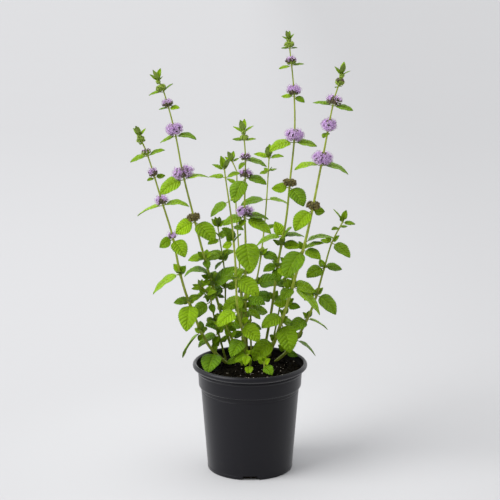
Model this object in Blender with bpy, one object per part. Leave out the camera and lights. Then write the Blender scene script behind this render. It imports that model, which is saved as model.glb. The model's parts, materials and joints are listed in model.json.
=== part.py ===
"""Potted mint in flower: a black nursery pot, its soil, sixteen leafy stems and flower whorls.

Everything is modelled in metres with +Z up. The origin is the middle of the pot's underside.
Lengths in the tables below are millimetres and are scaled by MM where a mesh is made.
"""

import math
import random

import bmesh
import bpy
from mathutils import Matrix, Vector
from mathutils.bvhtree import BVHTree

MM = 0.001
GAP = 0.3
WELDS = (0.03, 0.01, 0.003, 0)
SEED = 7

# Pot
POT_HEIGHT = 124.5
RIM_RADIUS = 65.0
MOUTH_RADIUS = 60.6
COLLAR_RADIUS = 59.0
COLLAR_BOTTOM = 97.5
BODY_TOP_RADIUS = 55.7
BASE_RADIUS = 48.8
WALL = 1.4
BASE_THICKNESS = 2.0
POT_SIDES = 36
DRAINS = 3
DRAIN_WIDTH = 17.0
DRAIN_HEIGHT = 4.5
DRAIN_REACH = 9.0

# Soil
SOIL_EDGE = 116.5
SOIL_MOUND = 2.5
SOIL_RINGS = (0.78, 0.54, 0.28)
SOIL_SIDES = 24
SOIL_BUMP = 0.7
STEM_DEPTH = 14.0

# Stems
STEM_WIDTH = 3.1
STOUT_STEM_WIDTH = 3.8
THIN_STEM_WIDTH = 2.3
STEM_TIP_WIDTH = 1.3
STEM_STEP = 27.0

# Leaves: they turn their upper faces to the light, which comes from the front, most of all low down
BLADE_THICKNESS = 0.7
STALK_WIDTH = 2.0
STALK_DEPTH = 1.5
STALK_START = 2.6
LONG_LEAF = 22.0
SHORT_LEAF = 16.5
LONG_BEND = 40
SHORT_BEND = 20
FOLD = 12.0
LIGHT_SIDE = -0.14
LOW_LEAN = 46
HIGH_LEAN = 12
LEAN_TOP = 370.0
PAIR_STEP = 1.2
CLEARANCE = 0.35

# What a leaf that meets another shoot may do: turn and tilt by steps, then be shorter
TURN_STEP = 8
MOST_TURNS = 7
MOST_TILTS = 5
RISES = (-75, 80)
SIZES = (1.0, 0.85, 0.7)

# A leaf's half width as a share of its length, then its outline as (share of its length, share
# of that half width): teeth on a long leaf, one shoulder on a middling one, a point on a bract.
LONG_BLADE = (0.30, ((0.27, 1.0), (0.49, 0.84), (0.62, 0.88)))
MIDDLE_BLADE = (0.28, ((0.32, 1.0), (0.66, 0.78)))
SHORT_BLADE = (0.26, ((0.42, 1.0),))

# Each shoot's stem, as the points (x, y, z) that it passes through from the soil up.
ROUTES = {
    "a": [(-20, 12, 112), (-47, 8, 141), (-69, 1, 195), (-78, -4, 228), (-86, -10, 273),
          (-97, -15, 313), (-112, -22, 367), (-120, -25, 386)],
    "b": [(-14, 38, 112), (-24, 39, 137), (-39, 40, 190), (-51, 41, 231), (-64, 42, 283),
          (-76, 43, 333), (-85, 44, 382), (-98, 45, 430), (-103, 45, 438)],
    "c": [(-3, 28, 112), (-5, 14, 181), (-5, -4, 267), (-6, -11, 300), (-5, -24, 362),
          (-7, -30, 392)],
    "d": [(14, 36, 112), (25, 37, 176), (32, 37, 230), (41, 38, 281), (45, 38, 323),
          (50, 39, 378), (49, 39, 427), (43, 40, 484)],
    "e": [(12, 20, 112), (25, 16, 136), (39, 9, 179), (49, 3, 216), (63, -6, 272),
          (79, -20, 361), (90, -30, 425), (98, -35, 453)],
    "f": [(24, 26, 112), (40, 25, 126), (53, 24, 143), (71, 21, 182), (84, 18, 229),
          (92, 17, 258), (104, 15, 283)],
    "g": [(2, 42, 112), (1, 47, 167), (12, 56, 230), (18, 62, 284), (22, 70, 348)],
    "h": [(-3, 14, 112), (-8, 1, 158), (-14, -9, 188), (-16, -28, 244), (-20, -46, 298),
          (-26, -62, 346), (-27, -65, 356)],
    "k": [(-12, 46, 112), (-27, 49, 160), (-29, 54, 212), (-35, 58, 255), (-37, 60, 268)],
    "m": [(-26, 24, 112), (-38, 19, 160), (-43, 14, 183), (-46, 11, 200), (-55, 10, 209)],
    "s": [(-8, 34, 112), (-10, 32, 180), (-13, 33, 250), (-16, 35, 302), (-15, 36, 335),
          (-20, 37, 348)],
    "n": [(-6, 2, 112), (-18, 8, 140), (-27, 2, 166)],
    "o": [(1, -14, 112), (0, -13, 124), (-2, -11, 136)],
    "p": [(15, -20, 112), (16, -20, 123), (16, -18, 129)],
    "q": [(-3, 50, 112), (-8, 66, 170), (-10, 72, 198)],
    "r": [(22, 42, 112), (34, 56, 170), (44, 66, 222)],
}
STOUT_SHOOTS = "e"
THIN_SHOOTS = "gkmnopqrs"

# Each node of a shoot: its height, then its leaves as (facing, rise, length). Facing is degrees
# in plan from +X, rise is degrees above the horizon, length is from the stem to the leaf's tip.
# A fourth number is how many degrees further a leaf leans to the front, and a fifth is its bend.
# The last entry of a node in flower is its whorl, as (kind, diameter, depth).
NODES = {
    "a": [(132, [(-98, -35, 34)]),
          (158, [(102, 40, 14), (-153, -50, 36, -55), (66, 16, 12), (-156, 36, 15),
                 (-141, -20, 11)]),
          (194, [(160, -10, 19), (40, 15, 17), (-95, -60, 33)]),
          (228, [(-165, -36, 38, -27), (150, 45, 13, 30), (-45, 62, 13, 30)]),
          (268, [(160, -22, 19, 40, 20), (-50, -40, 26)], ("bloom", 10.5, 7)),
          (307, [(170, -24, 32, -16), (-10, 0, 30, -12, 60)], ("bloom", 14, 11)),
          (339, [(-140, -15, 10, 10), (20, 5, 12, 25)], ("bloom", 12, 10)),
          (363, [(170, -20, 21), (-10, 20, 20)], ("bud", 11, 7.5)),
          (378, [(80, 20, 8), (-100, 10, 8)], ("cup", 11, 6)),
          (386, [(-120, 68, 14, -50), (92, 68, 11), (165, 55, 13), (20, 50, 13)])],
    "b": [(153, [(-150, 12, 26), (-10, -10, 13)]),
          (171, [(-111, -28, 13), (25, 10, 16)]),
          (191, [(-144, 0, 17, -35, 20), (0, -10, 10)]),
          (203, [(-8, 36, 35, -6, 15)]),
          (212, [(-177, 2, 36, -30, 130), (57, 14, 14), (-123, -22, 15)]),
          (235, [(165, -10, 20, 10), (-132, -6, 10), (-70, -35, 15), (81, 40, 14)]),
          (277, [(165, -22, 27, 32, 20), (-35, -40, 32)], ("dry", 15.5, 10)),
          (326, [(-170, -30, 33, 14), (15, 12, 28, -10, 50)], ("bloom", 21, 15)),
          (375, [(150, -14, 22, 10, 25), (-15, -6, 25, 0, 60)], ("bloom", 20, 15)),
          (407, [(145, -10, 14), (-25, 5, 14, 20)], ("bloom", 14, 9.5)),
          (425, [(165, -15, 17), (-20, 38, 16)], ("cup", 12, 8)),
          (438, [(60, 70, 16), (-165, 66, 15, -30), (170, 40, 14), (20, 45, 9)])],
    "c": [(182, [(-6, -34, 20, -20)]),
          (193, [(-20, -5, 24), (-170, -20, 28)]),
          (226, [(150, 5, 16), (60, 10, 12)]),
          (266, [(-80, -56, 39)]),
          (293, [(-162, -16, 26), (10, 2, 27, -10, 50), (-115, -30, 15), (-12, -20, 33, -4, 30)],
           ("bloom", 17, 12.5)),
          (338, [(-15, -8, 24, 0, 55), (-130, -50, 31)], ("bloom", 14, 10)),
          (358, [(15, -16, 25, 0, 50), (-140, -42, 12)], ("bud", 12, 8)),
          (381, [(165, 5, 13), (-15, 10, 13)], ("cup", 10, 6)),
          (391, [(-140, 66, 16, -50), (85, 70, 16), (170, 30, 15), (10, 35, 15)])],
    "d": [(187, [(20, -25, 24), (-160, 15, 24)]),
          (227, [(-165, -18, 18, 10), (-45, -25, 26), (-93, -52, 20)]),
          (251, [(-15, -5, 22)]),
          (261, [(-165, -18, 33, -20, 60), (15, -5, 26, -18, 50), (165, 58, 21, 10, 20),
                 (-25, 60, 21, 0, 20)]),
          (318, [(160, 6, 21, 30, 8), (-45, -40, 29)], ("dry", 16, 9.5)),
          (369, [(-165, -18, 30, 6, 50), (10, -10, 26, 0, 30)], ("bloom", 22, 15.5)),
          (421, [(155, 6, 15, 10, 5), (-35, -22, 15, 10)], ("bloom", 17, 13)),
          (455, [(-160, -12, 15), (20, 6, 15)], ("bud", 13, 9.5)),
          (474, [(165, 10, 10), (-20, 15, 9)], ("cup", 11.5, 7.5)),
          (485, [(-145, 68, 12, -50), (70, 75, 11), (165, 30, 10), (15, 50, 11)])],
    "e": [(144, [(-158, -37, 33)]),
          (166, [(-45, -64, 35), (30, -20, 24)]),
          (175, [(-156, -26, 28)]),
          (187, [(-20, 0, 16), (-165, 15, 16)]),
          (211, [(-15, -43, 44, -32), (15, -15, 28), (-125, -30, 22)]),
          (255, [(-139, -50, 38), (-12, 20, 25, -22), (-25, -18, 23, -8)]),
          (263, [(4, 8, 34, -28, 60)]),
          (301, [(-153, -44, 30, 10), (20, -4, 16, 45, 5)], ("dry", 16, 10)),
          (352, [(-170, -8, 30, -12, 60), (10, -20, 33, -4, 60)], ("bloom", 23, 16)),
          (390, [(-110, -20, 14, 10), (70, 0, 14)], ("bloom", 20, 14.5)),
          (419, [(165, 6, 22, -8, 30), (-15, -12, 22, -6, 20)], ("bloom", 15.5, 11)),
          (440, [(-120, -5, 7), (60, -5, 7)], ("cup", 11.5, 9)),
          (453, [(60, 70, 16), (-80, 66, 15, -50), (165, 50, 14), (-10, 30, 12)])],
    "f": [(128, [(-9, -16, 15)]),
          (143, [(-15, -37, 29, -52), (160, -10, 18)]),
          (168, [(-155, -25, 26, 10), (15, -30, 28, -36)]),
          (197, [(-20, -42, 31, -14), (160, -25, 16)]),
          (229, [(-150, -22, 24, 14), (15, -8, 21)]),
          (258, [(-25, -35, 26, -8), (150, 10, 14)]),
          (276, [(-150, -5, 11), (25, 5, 10)]),
          (284, [(40, 64, 14, 25), (160, 50, 18, -30, 20), (-10, -5, 15)])],
    "g": [(170, [(-150, -20, 22), (30, -10, 22)]),
          (201, [(-10, 10, 33), (160, -25, 24)]),
          (235, [(-15, -8, 21), (160, 15, 21)]),
          (264, [(160, 25, 15), (-20, 25, 15)]),
          (299, [(-170, -12, 30, -14), (10, -14, 27, -14)]),
          (331, [(-150, -10, 11, 15), (35, 10, 12), (125, 30, 9), (-55, 45, 11)]),
          (347, [(85, 70, 16), (-115, 66, 15, -50), (170, 15, 19), (-10, 10, 18)])],
    "h": [(150, [(-130, -38, 27)]),
          (168, [(-25, -38, 28)]),
          (185, [(-155, -30, 29), (60, -10, 18)]),
          (227, [(-15, -40, 31), (165, 0, 14)]),
          (270, [(-155, 50, 22, 10), (-50, 70, 19), (150, -18, 15, 35)]),
          (290, [(-27, -12, 14)]),
          (319, [(-165, -40, 25), (30, 10, 14)]),
          (346, [(165, 0, 19), (-15, 20, 17)]),
          (356, [(150, 70, 15), (-25, 65, 15, -40), (170, 25, 15), (75, 60, 12)])],
    "k": [(197, [(-153, -14, 23), (-15, 10, 20)]),
          (229, [(-132, -32, 16, -45, 30)]),
          (235, [(-160, -12, 22), (39, 8, 18), (145, 20, 15)]),
          (254, [(-147, -18, 16), (-35, 30, 14)]),
          (268, [(135, 70, 12), (-65, 66, 14, -50), (165, 50, 13), (-20, 35, 18)])],
    "m": [(139, [(-174, -12, 11)]),
          (150, [(-147, -30, 28, -30, 60), (-126, -28, 14)]),
          (165, [(-126, 14, 18, 0, 70), (20, -30, 19)]),
          (190, [(-160, -45, 27), (-50, -55, 13)]),
          (200, [(145, -20, 15), (-25, 15, 15)]),
          (208, [(-145, 68, 11, -50), (85, 65, 10), (165, 20, 12), (-168, 0, 12)])],
    "s": [(322, [(165, 25, 13), (-10, -3, 13)]),
          (348, [(-150, 66, 13, -50), (60, 72, 12), (160, 30, 11), (10, 30, 9)])],
    "n": [(126, [(-165, -18, 15.5), (-60, -25, 10)]),
          (150, [(-60, -20, 14), (20, 20, 16)]),
          (166, [(-100, 50, 12, -50), (175, 10, 15), (-10, 30, 10)])],
    "o": [(124, [(-95, -25, 15.5)]),
          (136, [(-105, -35, 17), (-170, -28, 18), (30, 30, 9)])],
    "p": [(125, [(-60, -30, 18)]),
          (129, [(120, 45, 8), (10, 25, 8)])],
    "q": [(148, [(160, 0, 20), (-20, -5, 20)]),
          (172, [(100, 10, 16), (-80, 0, 18)]),
          (198, [(60, 50, 12), (170, 25, 14), (-20, 30, 13)])],
    "r": [(174, [(108, 38, 15), (-45, 18, 12)]),
          (198, [(60, 0, 16), (-130, 10, 16)]),
          (222, [(90, 60, 14), (-150, 40, 14), (-25, 30, 13)])],
}

# Where a tall shoot bears plain leaves between these heights, a pair of young ones stands in
# their axils, at right angles to them.
YOUNG_HEIGHTS = (190, 254)
CROWDED = 3
YOUNG_RISE = 42
YOUNG_LENGTH = 11.5

# Whorls: columns round the stem, rows of florets, how far a floret stands out, its colour.
WHORLS = {
    "bloom": (9, 3, 2.6, "lilac"),
    "bud": (8, 2, 1.6, "bud_brown"),
    "dry": (9, 2, 1.8, "dry_brown"),
    "cup": (8, 2, 1.2, "leaf_green"),
}

WHORL_ARC = 124
WHORL_SEAT = 1.0
FLORET_LIFT = 0.25
BORE_SPARE = 0.1
BORE_WALL = 0.9
BORE_SHARE = 0.8

FINISHES = {
    "pot_black": ((0.016, 0.016, 0.018), 0.42),
    "soil_dark": ((0.022, 0.015, 0.010), 0.95),
    "leaf_green": ((0.150, 0.330, 0.022), 0.50),
    "lilac": ((0.430, 0.280, 0.620), 0.65),
    "bud_brown": ((0.160, 0.130, 0.070), 0.70),
    "dry_brown": ((0.110, 0.095, 0.030), 0.85),
}


def clear_scene():
    """Remove whatever the file opened with."""
    for old in list(bpy.data.objects):
        bpy.data.objects.remove(old, do_unlink=True)


def finish(name):
    """The Principled material of one finish."""
    made = bpy.data.materials.get(name)
    if made:
        return made
    colour, roughness = FINISHES[name]
    made = bpy.data.materials.new(name)
    made.use_nodes = True
    shader = made.node_tree.nodes["Principled BSDF"]
    shader.inputs["Base Color"].default_value = (*colour, 1.0)
    shader.inputs["Roughness"].default_value = roughness
    shader.inputs["Metallic"].default_value = 0.0
    return made


def add_object(name, vertices, faces, material):
    """An object from millimetre vertices."""
    mesh = bpy.data.meshes.new(name)
    mesh.from_pydata([Vector(v) * MM for v in vertices], [], faces)
    mesh.materials.append(finish(material))
    made = bpy.data.objects.new(name, mesh)
    bpy.context.scene.collection.objects.link(made)
    return made


def shade(made, angle):
    """Smooth shading with edges sharper than the angle kept sharp."""
    made.data.shade_smooth()
    made.data.set_sharp_from_angle(angle=math.radians(angle))


def apply_modifiers(made):
    """Give an object the mesh that its modifiers make, and drop the modifiers."""
    depsgraph = bpy.context.evaluated_depsgraph_get()
    mesh = bpy.data.meshes.new_from_object(made.evaluated_get(depsgraph))
    made.modifiers.clear()
    made.data = mesh


def combine(made, others, operation):
    """One Boolean of an object with a collection of others, which are removed after it."""
    tools = bpy.data.collections.new("tools")
    bpy.context.scene.collection.children.link(tools)
    for other in others:
        bpy.context.scene.collection.objects.unlink(other)
        tools.objects.link(other)
        other.hide_render = True
        other.display_type = "WIRE"
    boolean = made.modifiers.new("combine", "BOOLEAN")
    boolean.operation = operation
    boolean.operand_type = "COLLECTION"
    boolean.collection = tools
    boolean.solver = "EXACT"
    apply_modifiers(made)
    for other in others:
        bpy.data.objects.remove(other, do_unlink=True)
    bpy.data.collections.remove(tools)


def islands(bm):
    """The loose bodies of a mesh, as lists of faces, from the smallest to the largest."""
    left = set(bm.faces)
    found = []
    while left:
        stack = [left.pop()]
        body = list(stack)
        while stack:
            for edge in stack.pop().edges:
                for face in edge.link_faces:
                    if face in left:
                        left.remove(face)
                        stack.append(face)
                        body.append(face)
        found.append(body)
    return sorted(found, key=len)


def tidy(made):
    """Drop loose scraps, weld what lies closer than a hair and cut the faces into triangles."""
    for weld in WELDS:
        bm = bmesh.new()
        bm.from_mesh(made.data)
        for body in islands(bm)[:-1]:
            bmesh.ops.delete(bm, geom=body, context="FACES")
        if weld:
            bmesh.ops.remove_doubles(bm, verts=bm.verts, dist=weld * MM)
        bmesh.ops.triangulate(bm, faces=bm.faces)
        if len(islands(bm)) == 1 and all(len(edge.link_faces) == 2 for edge in bm.edges):
            bm.to_mesh(made.data)
            bm.free()
            return
        bm.free()


def turned(name, profile, sides, material):
    """A solid of revolution from an (r, z) profile that starts and ends on the axis."""
    bm = bmesh.new()
    points = [bm.verts.new(Vector((r, 0, z)) * MM) for r, z in profile]
    edges = [bm.edges.new(pair) for pair in zip(points, points[1:])]
    bmesh.ops.spin(bm, geom=points + edges, axis=(0, 0, 1), cent=(0, 0, 0),
                   angle=math.tau, steps=sides, use_merge=True)
    bmesh.ops.remove_doubles(bm, verts=bm.verts, dist=0.00001)
    bmesh.ops.recalc_face_normals(bm, faces=bm.faces)
    mesh = bpy.data.meshes.new(name)
    bm.to_mesh(mesh)
    bm.free()
    mesh.materials.append(finish(material))
    made = bpy.data.objects.new(name, mesh)
    bpy.context.scene.collection.objects.link(made)
    return made


def inner_wall():
    """The inside of the pot's wall as (r, z), from the base up to the mouth."""
    return [(BASE_RADIUS - WALL, BASE_THICKNESS),
            (BODY_TOP_RADIUS - WALL, COLLAR_BOTTOM - 0.4),
            (COLLAR_RADIUS - WALL - 1.0, COLLAR_BOTTOM + 1.0),
            (COLLAR_RADIUS - WALL, POT_HEIGHT - 8.5),
            (MOUTH_RADIUS - 0.4, POT_HEIGHT - 4.5),
            (MOUTH_RADIUS, POT_HEIGHT - 0.8)]


def make_drain(turn):
    """The cutter of one drain slot, through the corner of the wall and the base."""
    bm = bmesh.new()
    bmesh.ops.create_cube(bm, size=1)
    size = Vector((2 * DRAIN_REACH, DRAIN_WIDTH, 2 * DRAIN_HEIGHT)) * MM
    place = Matrix.Rotation(turn, 4, "Z") @ Matrix.Translation((BASE_RADIUS * MM, 0, 0))
    bm.transform(place @ Matrix.Diagonal((*size, 1)))
    mesh = bpy.data.meshes.new("drain")
    bm.to_mesh(mesh)
    bm.free()
    drain = bpy.data.objects.new("drain", mesh)
    bpy.context.scene.collection.objects.link(drain)
    return drain


def make_pot():
    """The pot: a tapered body, a wider collar above a small step, and a rolled rim."""
    outside = [(0, 0), (BASE_RADIUS - 1.6, 0), (BASE_RADIUS, 2.0),
               (BODY_TOP_RADIUS, COLLAR_BOTTOM - 1.0),
               (COLLAR_RADIUS - 0.9, COLLAR_BOTTOM),
               (COLLAR_RADIUS, POT_HEIGHT - 7.5),
               (RIM_RADIUS - 0.8, POT_HEIGHT - 5.8),
               (RIM_RADIUS, POT_HEIGHT - 3.0),
               (RIM_RADIUS - 1.8, POT_HEIGHT - 0.3),
               (MOUTH_RADIUS + 0.7, POT_HEIGHT)]
    inside = inner_wall()[::-1] + [(0, BASE_THICKNESS)]
    pot = turned("pot", outside + inside, POT_SIDES, "pot_black")
    drains = []
    for index in range(DRAINS):
        turn = math.tau * index / DRAINS - math.pi / 2
        drains.append(make_drain(turn))
    combine(pot, drains, "DIFFERENCE")
    tidy(pot)
    shade(pot, 35)
    return pot


def route_point(route, height):
    """The middle of a stem at a height, on a smooth curve through the route's points."""
    last = len(route) - 2
    index = max(i for i in range(last + 1) if i == 0 or route[i][2] <= height)
    low, high = Vector(route[index]), Vector(route[index + 1])
    span = high.z - low.z

    def slope(i):
        before, after = Vector(route[max(i - 1, 0)]), Vector(route[min(i + 1, last + 1)])
        return (after - before) / (after.z - before.z)

    share = (height - low.z) / span
    if share < 0 or share > 1:
        end = low if share < 0 else high
        return end + slope(index if share < 0 else index + 1) * (height - end.z)
    square, cube = share ** 2, share ** 3
    return ((2 * cube - 3 * square + 1) * low + (cube - 2 * square + share) * span * slope(index)
            + (3 * square - 2 * cube) * high + (cube - square) * span * slope(index + 1))


def stem_width(shoot, height):
    """The side of the square stem, thinner towards its tip."""
    route = ROUTES[shoot]
    base = STEM_WIDTH
    if shoot in STOUT_SHOOTS:
        base = STOUT_STEM_WIDTH
    if shoot in THIN_SHOOTS:
        base = THIN_STEM_WIDTH
    share = (height - route[0][2]) / (route[-1][2] - route[0][2])
    return base + (STEM_TIP_WIDTH - base) * max(share, 0) ** 1.2


def stem_line(shoot):
    """The middles of a stem's sections, from its foot in the soil to its tip."""
    route = ROUTES[shoot]
    foot, tip = route[0][2], route[-1][2] + 1
    steps = math.ceil((tip - foot) / STEM_STEP)
    heights = [foot - STEM_DEPTH] + [foot + (tip - foot) * step / steps for step in range(steps + 1)]
    return [route_point(route, height) for height in heights]


def on_line(line, height):
    """The point of a stem's line at a height, and the way that the stem runs there."""
    index = max(i for i in range(len(line) - 1) if i == 0 or line[i].z <= height)
    low, high = line[index], line[index + 1]
    return low.lerp(high, (height - low.z) / (high.z - low.z)), (high - low).normalized()


def stem_shape(shoot, line, spare=0.0):
    """A square stem along its line, as vertices and faces."""
    vertices, faces = [], []
    for index, middle in enumerate(line):
        along = (line[min(index + 1, len(line) - 1)] - line[max(index - 1, 0)]).normalized()
        half = stem_width(shoot, middle.z) / 2 + spare
        side = (Vector((1, 0, 0)) - along * along.x).normalized()
        front = along.cross(side)
        for across, out in ((1, 1), (-1, 1), (-1, -1), (1, -1)):
            vertices.append(middle + side * across * half + front * out * half)
    for step in range(len(line) - 1):
        for corner in range(4):
            a = step * 4 + corner
            b = step * 4 + (corner + 1) % 4
            faces.append((a, b, b + 4, a + 4))
    faces.append((3, 2, 1, 0))
    faces.append(tuple(range(len(vertices) - 4, len(vertices))))
    return vertices, faces


def leaf_kind(length):
    """The half width's share, the outline and the size of the stalk of a leaf."""
    if length >= LONG_LEAF:
        return *LONG_BLADE, 1.0
    if length >= SHORT_LEAF:
        return *MIDDLE_BLADE, 1.0
    return *SHORT_BLADE, 0.6


def sunward(height, more):
    """Where a leaf's upper face turns to at a height, leaning some degrees more than most."""
    share = min(max((height - SOIL_EDGE) / (LEAN_TOP - SOIL_EDGE), 0), 1)
    lean = math.radians(LOW_LEAN + (HIGH_LEAN - LOW_LEAN) * share + more)
    return Vector((LIGHT_SIDE, -math.sin(lean), math.cos(lean))).normalized()


def whole(leaf):
    """The five numbers of a leaf's place, where a leaf may leave out its lean and its bend."""
    facing, rise, length, *others = leaf
    lean = others[0] if others else 0
    bend = LONG_BEND if length >= SHORT_LEAF else SHORT_BEND
    return facing, rise, length, lean, others[1] if len(others) > 1 else bend


def blade_shape(root, place, extra=0.0):
    """A folded, drooping leaf as vertices and faces, cut alike above and below.

    A three-sided stalk starts from one point in the middle of the stem, the blade spreads from
    the stalk's end, and it ends in one point at its tip.
    """
    facing, rise, length, lean, bend = place
    bend = math.radians(bend)
    start = math.radians(rise) + bend / 2
    heading = Vector((math.cos(math.radians(facing)), math.sin(math.radians(facing)), 0))
    fold = math.tan(math.radians(FOLD))
    light = sunward(root.z, lean)
    width, outline, stalk = leaf_kind(length)

    def midrib(share):
        """A point of the midrib, and the ways to the blade's left and up from it."""
        angle = start - bend * share
        out = (math.sin(start) - math.sin(angle)) / bend * length
        up = (math.cos(angle) - math.cos(start)) / bend * length
        run = heading * math.cos(angle) + Vector((0, 0, math.sin(angle)))
        side = light.cross(run).normalized()
        return root + heading * out + Vector((0, 0, up)), side, run.cross(side).normalized()

    middle, side, up = midrib(STALK_START * stalk / length)
    half = STALK_WIDTH / 2 * stalk + extra
    vertices = [root, middle + side * half + up * extra, middle - side * half + up * extra,
                middle - up * (STALK_DEPTH * stalk + extra)]
    faces = [(0, 2, 1), (0, 1, 3), (0, 3, 2)]
    for share, part in outline:
        middle, side, up = midrib(share)
        half = width * length * part + extra
        lift = up * (BLADE_THICKNESS / 2 + extra)
        left = middle + side * half + up * half * fold
        right = middle - side * half + up * half * fold
        vertices += [left + lift, middle + lift, right + lift]
        vertices += [left - lift, middle - lift, right - lift]
    faces += [(1, 2, 5), (1, 5, 4), (2, 6, 5), (1, 4, 7), (2, 9, 6),
              (1, 7, 8), (1, 8, 3), (3, 8, 2), (2, 8, 9)]
    last = len(vertices) - 6
    for a in range(4, last, 6):
        faces += [(a, a + 1, a + 6), (a + 1, a + 7, a + 6), (a + 1, a + 2, a + 7),
                  (a + 2, a + 8, a + 7)]
        faces += [(a + 3, a + 9, a + 4), (a + 4, a + 9, a + 10), (a + 4, a + 10, a + 5),
                  (a + 5, a + 10, a + 11)]
        faces += [(a, a + 6, a + 3), (a + 6, a + 9, a + 3),
                  (a + 2, a + 5, a + 8), (a + 8, a + 5, a + 11)]
    tip = len(vertices)
    vertices.append(midrib(1.0)[0])
    rim = (last, last + 1, last + 2, last + 5, last + 4, last + 3)
    faces += [(here, there, tip) for here, there in zip(rim, rim[1:] + rim[:1])]
    return vertices, faces


def whorl_shape(shoot, line, height, kind, diameter, depth, pierced=True):
    """A ring of florets round the stem: a rounded body whose every facet rises to a point."""
    columns, rows, spike, _ = WHORLS[kind]
    middle, along = on_line(line, height)
    side = (Vector((1, 0, 0)) - along * along.x).normalized()
    front = along.cross(side)
    facet = math.cos(math.pi / columns)
    hole = (stem_width(shoot, height) * math.sqrt(0.5) + GAP + BORE_SPARE) / facet
    radius = (diameter / 2 - spike) / facet
    half = depth / 2

    def ring(distance, up):
        around = [math.tau * column / columns for column in range(columns)]
        return [middle + along * up + (side * math.cos(a) + front * math.sin(a)) * distance
                for a in around]

    vertices, faces = [], []
    for row in range(rows + 1):
        angle = math.radians(WHORL_ARC * (row / rows - 0.5))
        distance = max(radius * math.cos(angle), hole + BORE_WALL)
        vertices += ring(distance, half * math.sin(angle))
    for row in range(rows):
        for column in range(columns):
            after = (column + 1) % columns
            a, b = row * columns + column, row * columns + after
            quad = (a, b, b + columns, a + columns)
            centre = sum((vertices[v] for v in quad), Vector()) / 4
            outward = (centre - middle).normalized()
            vertices.append(centre + (outward + along * FLORET_LIFT) * spike)
            tip = len(vertices) - 1
            faces += [(here, there, tip) for here, there in zip(quad, quad[1:] + quad[:1])]
    up = rows * columns
    bore = len(vertices)
    if pierced:
        vertices += ring(hole, -half * BORE_SHARE)
        vertices += ring(hole, half * BORE_SHARE)
        for column in range(columns):
            after = (column + 1) % columns
            faces.append((column, bore + column, bore + after, after))
            faces.append((up + column, up + after, bore + columns + after,
                          bore + columns + column))
            faces.append((bore + column, bore + columns + column, bore + columns + after,
                          bore + after))
    else:
        faces.append(tuple(reversed(range(columns))))
        faces.append(tuple(range(up, up + columns)))
    return vertices, faces


def tree_of(shape):
    """A search tree of a shape, to find what crosses it."""
    vertices, faces = shape
    return BVHTree.FromPolygons([Vector(v) for v in vertices], faces)


def mesh_tree(made):
    """A search tree of a finished object."""
    vertices = [made.matrix_world @ v.co / MM for v in made.data.vertices]
    return BVHTree.FromPolygons(vertices, [tuple(p.vertices) for p in made.data.polygons])


def young_leaves(node):
    """The young pair of a node, or none where it is in flower, crowded or out of their reach."""
    low, high = YOUNG_HEIGHTS
    if len(node) > 2 or len(node[1]) > CROWDED or not low < node[0] < high:
        return []
    facing = node[1][0][0]
    return [(facing + turn, YOUNG_RISE, YOUNG_LENGTH) for turn in (90, -90)]


def turns():
    """How far a leaf may be turned and tilted from its place, the smallest change first."""
    tries = [(TURN_STEP * turn, TURN_STEP * tilt)
             for turn in range(-MOST_TURNS, MOST_TURNS + 1)
             for tilt in range(-MOST_TILTS, MOST_TILTS + 1)]
    return sorted(tries, key=lambda t: (t[0] ** 2 + t[1] ** 2, t))


def settle(root, leaf, others, own):
    """The leaf's shape, turned or shortened until it is clear of the other shoots."""
    facing, rise, length, lean, bend = whole(leaf)
    lowest, highest = RISES
    for neighbours in (others + own, others):
        for share in SIZES:
            for turn, tilt in turns():
                place = (facing + turn, max(min(rise + tilt, highest), lowest),
                         length * share, lean, bend)
                tree = tree_of(blade_shape(root, place, extra=CLEARANCE))
                if not any(tree.overlap(other) for other in neighbours):
                    return place
    return None


def grow(fixed):
    """Every shoot's shapes: its stem and its leaves, and the whorls it carries."""
    lines = {shoot: stem_line(shoot) for shoot in ROUTES}
    stems = {shoot: stem_shape(shoot, lines[shoot]) for shoot in ROUTES}
    stem_trees = {shoot: tree_of(shape) for shoot, shape in stems.items()}
    whorls, whorl_trees = [], []
    green = {shoot: [stems[shoot]] for shoot in ROUTES}
    for shoot in ROUTES:
        for node in NODES[shoot]:
            if len(node) < 3:
                continue
            kind, diameter, depth = node[2]
            height = node[0] + depth / 2 + WHORL_SEAT
            fused = WHORLS[kind][3] == "leaf_green"
            shape = whorl_shape(shoot, lines[shoot], height, kind, diameter, depth, not fused)
            whorl_trees.append(tree_of(shape))
            if fused:
                green[shoot].append(shape)
            else:
                whorls.append((shoot, node[0], kind, shape))
    leaf_trees = {shoot: [] for shoot in ROUTES}
    for shoot in ROUTES:
        others = fixed + whorl_trees
        others += [tree for other, tree in stem_trees.items() if other != shoot]
        others += [tree for other in ROUTES if other != shoot for tree in leaf_trees[other]]
        for node in NODES[shoot]:
            height = min(node[0], ROUTES[shoot][-1][2])
            for index, leaf in enumerate(node[1] + young_leaves(node)):
                root = on_line(lines[shoot], height - PAIR_STEP * (index // 2))[0]
                place = settle(root, leaf, others, leaf_trees[shoot])
                if place is None:
                    continue
                shape = blade_shape(root, place)
                leaf_trees[shoot].append(tree_of(shape))
                green[shoot].append(shape)
    return green, whorls


def make_soil():
    """The soil that fills the pot, a little uneven on top, with a hole for every stem."""
    draws = random.Random(SEED)
    wall = [(r - GAP, z) for r, z in inner_wall() if z < SOIL_EDGE]
    wall[0] = (wall[0][0], BASE_THICKNESS + GAP)
    edge = COLLAR_RADIUS - WALL - GAP - 0.3
    top = [(edge * share, SOIL_EDGE + SOIL_MOUND * (1 - share)) for share in SOIL_RINGS]
    profile = [(0, BASE_THICKNESS + GAP)] + wall + [(edge, SOIL_EDGE)] + top
    profile.append((0, SOIL_EDGE + SOIL_MOUND))
    soil = turned("soil", profile, SOIL_SIDES, "soil_dark")
    for vertex in soil.data.vertices:
        if vertex.co.z > (SOIL_EDGE + 0.2) * MM:
            vertex.co.z += draws.uniform(-SOIL_BUMP, SOIL_BUMP) * MM
    return soil


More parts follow.
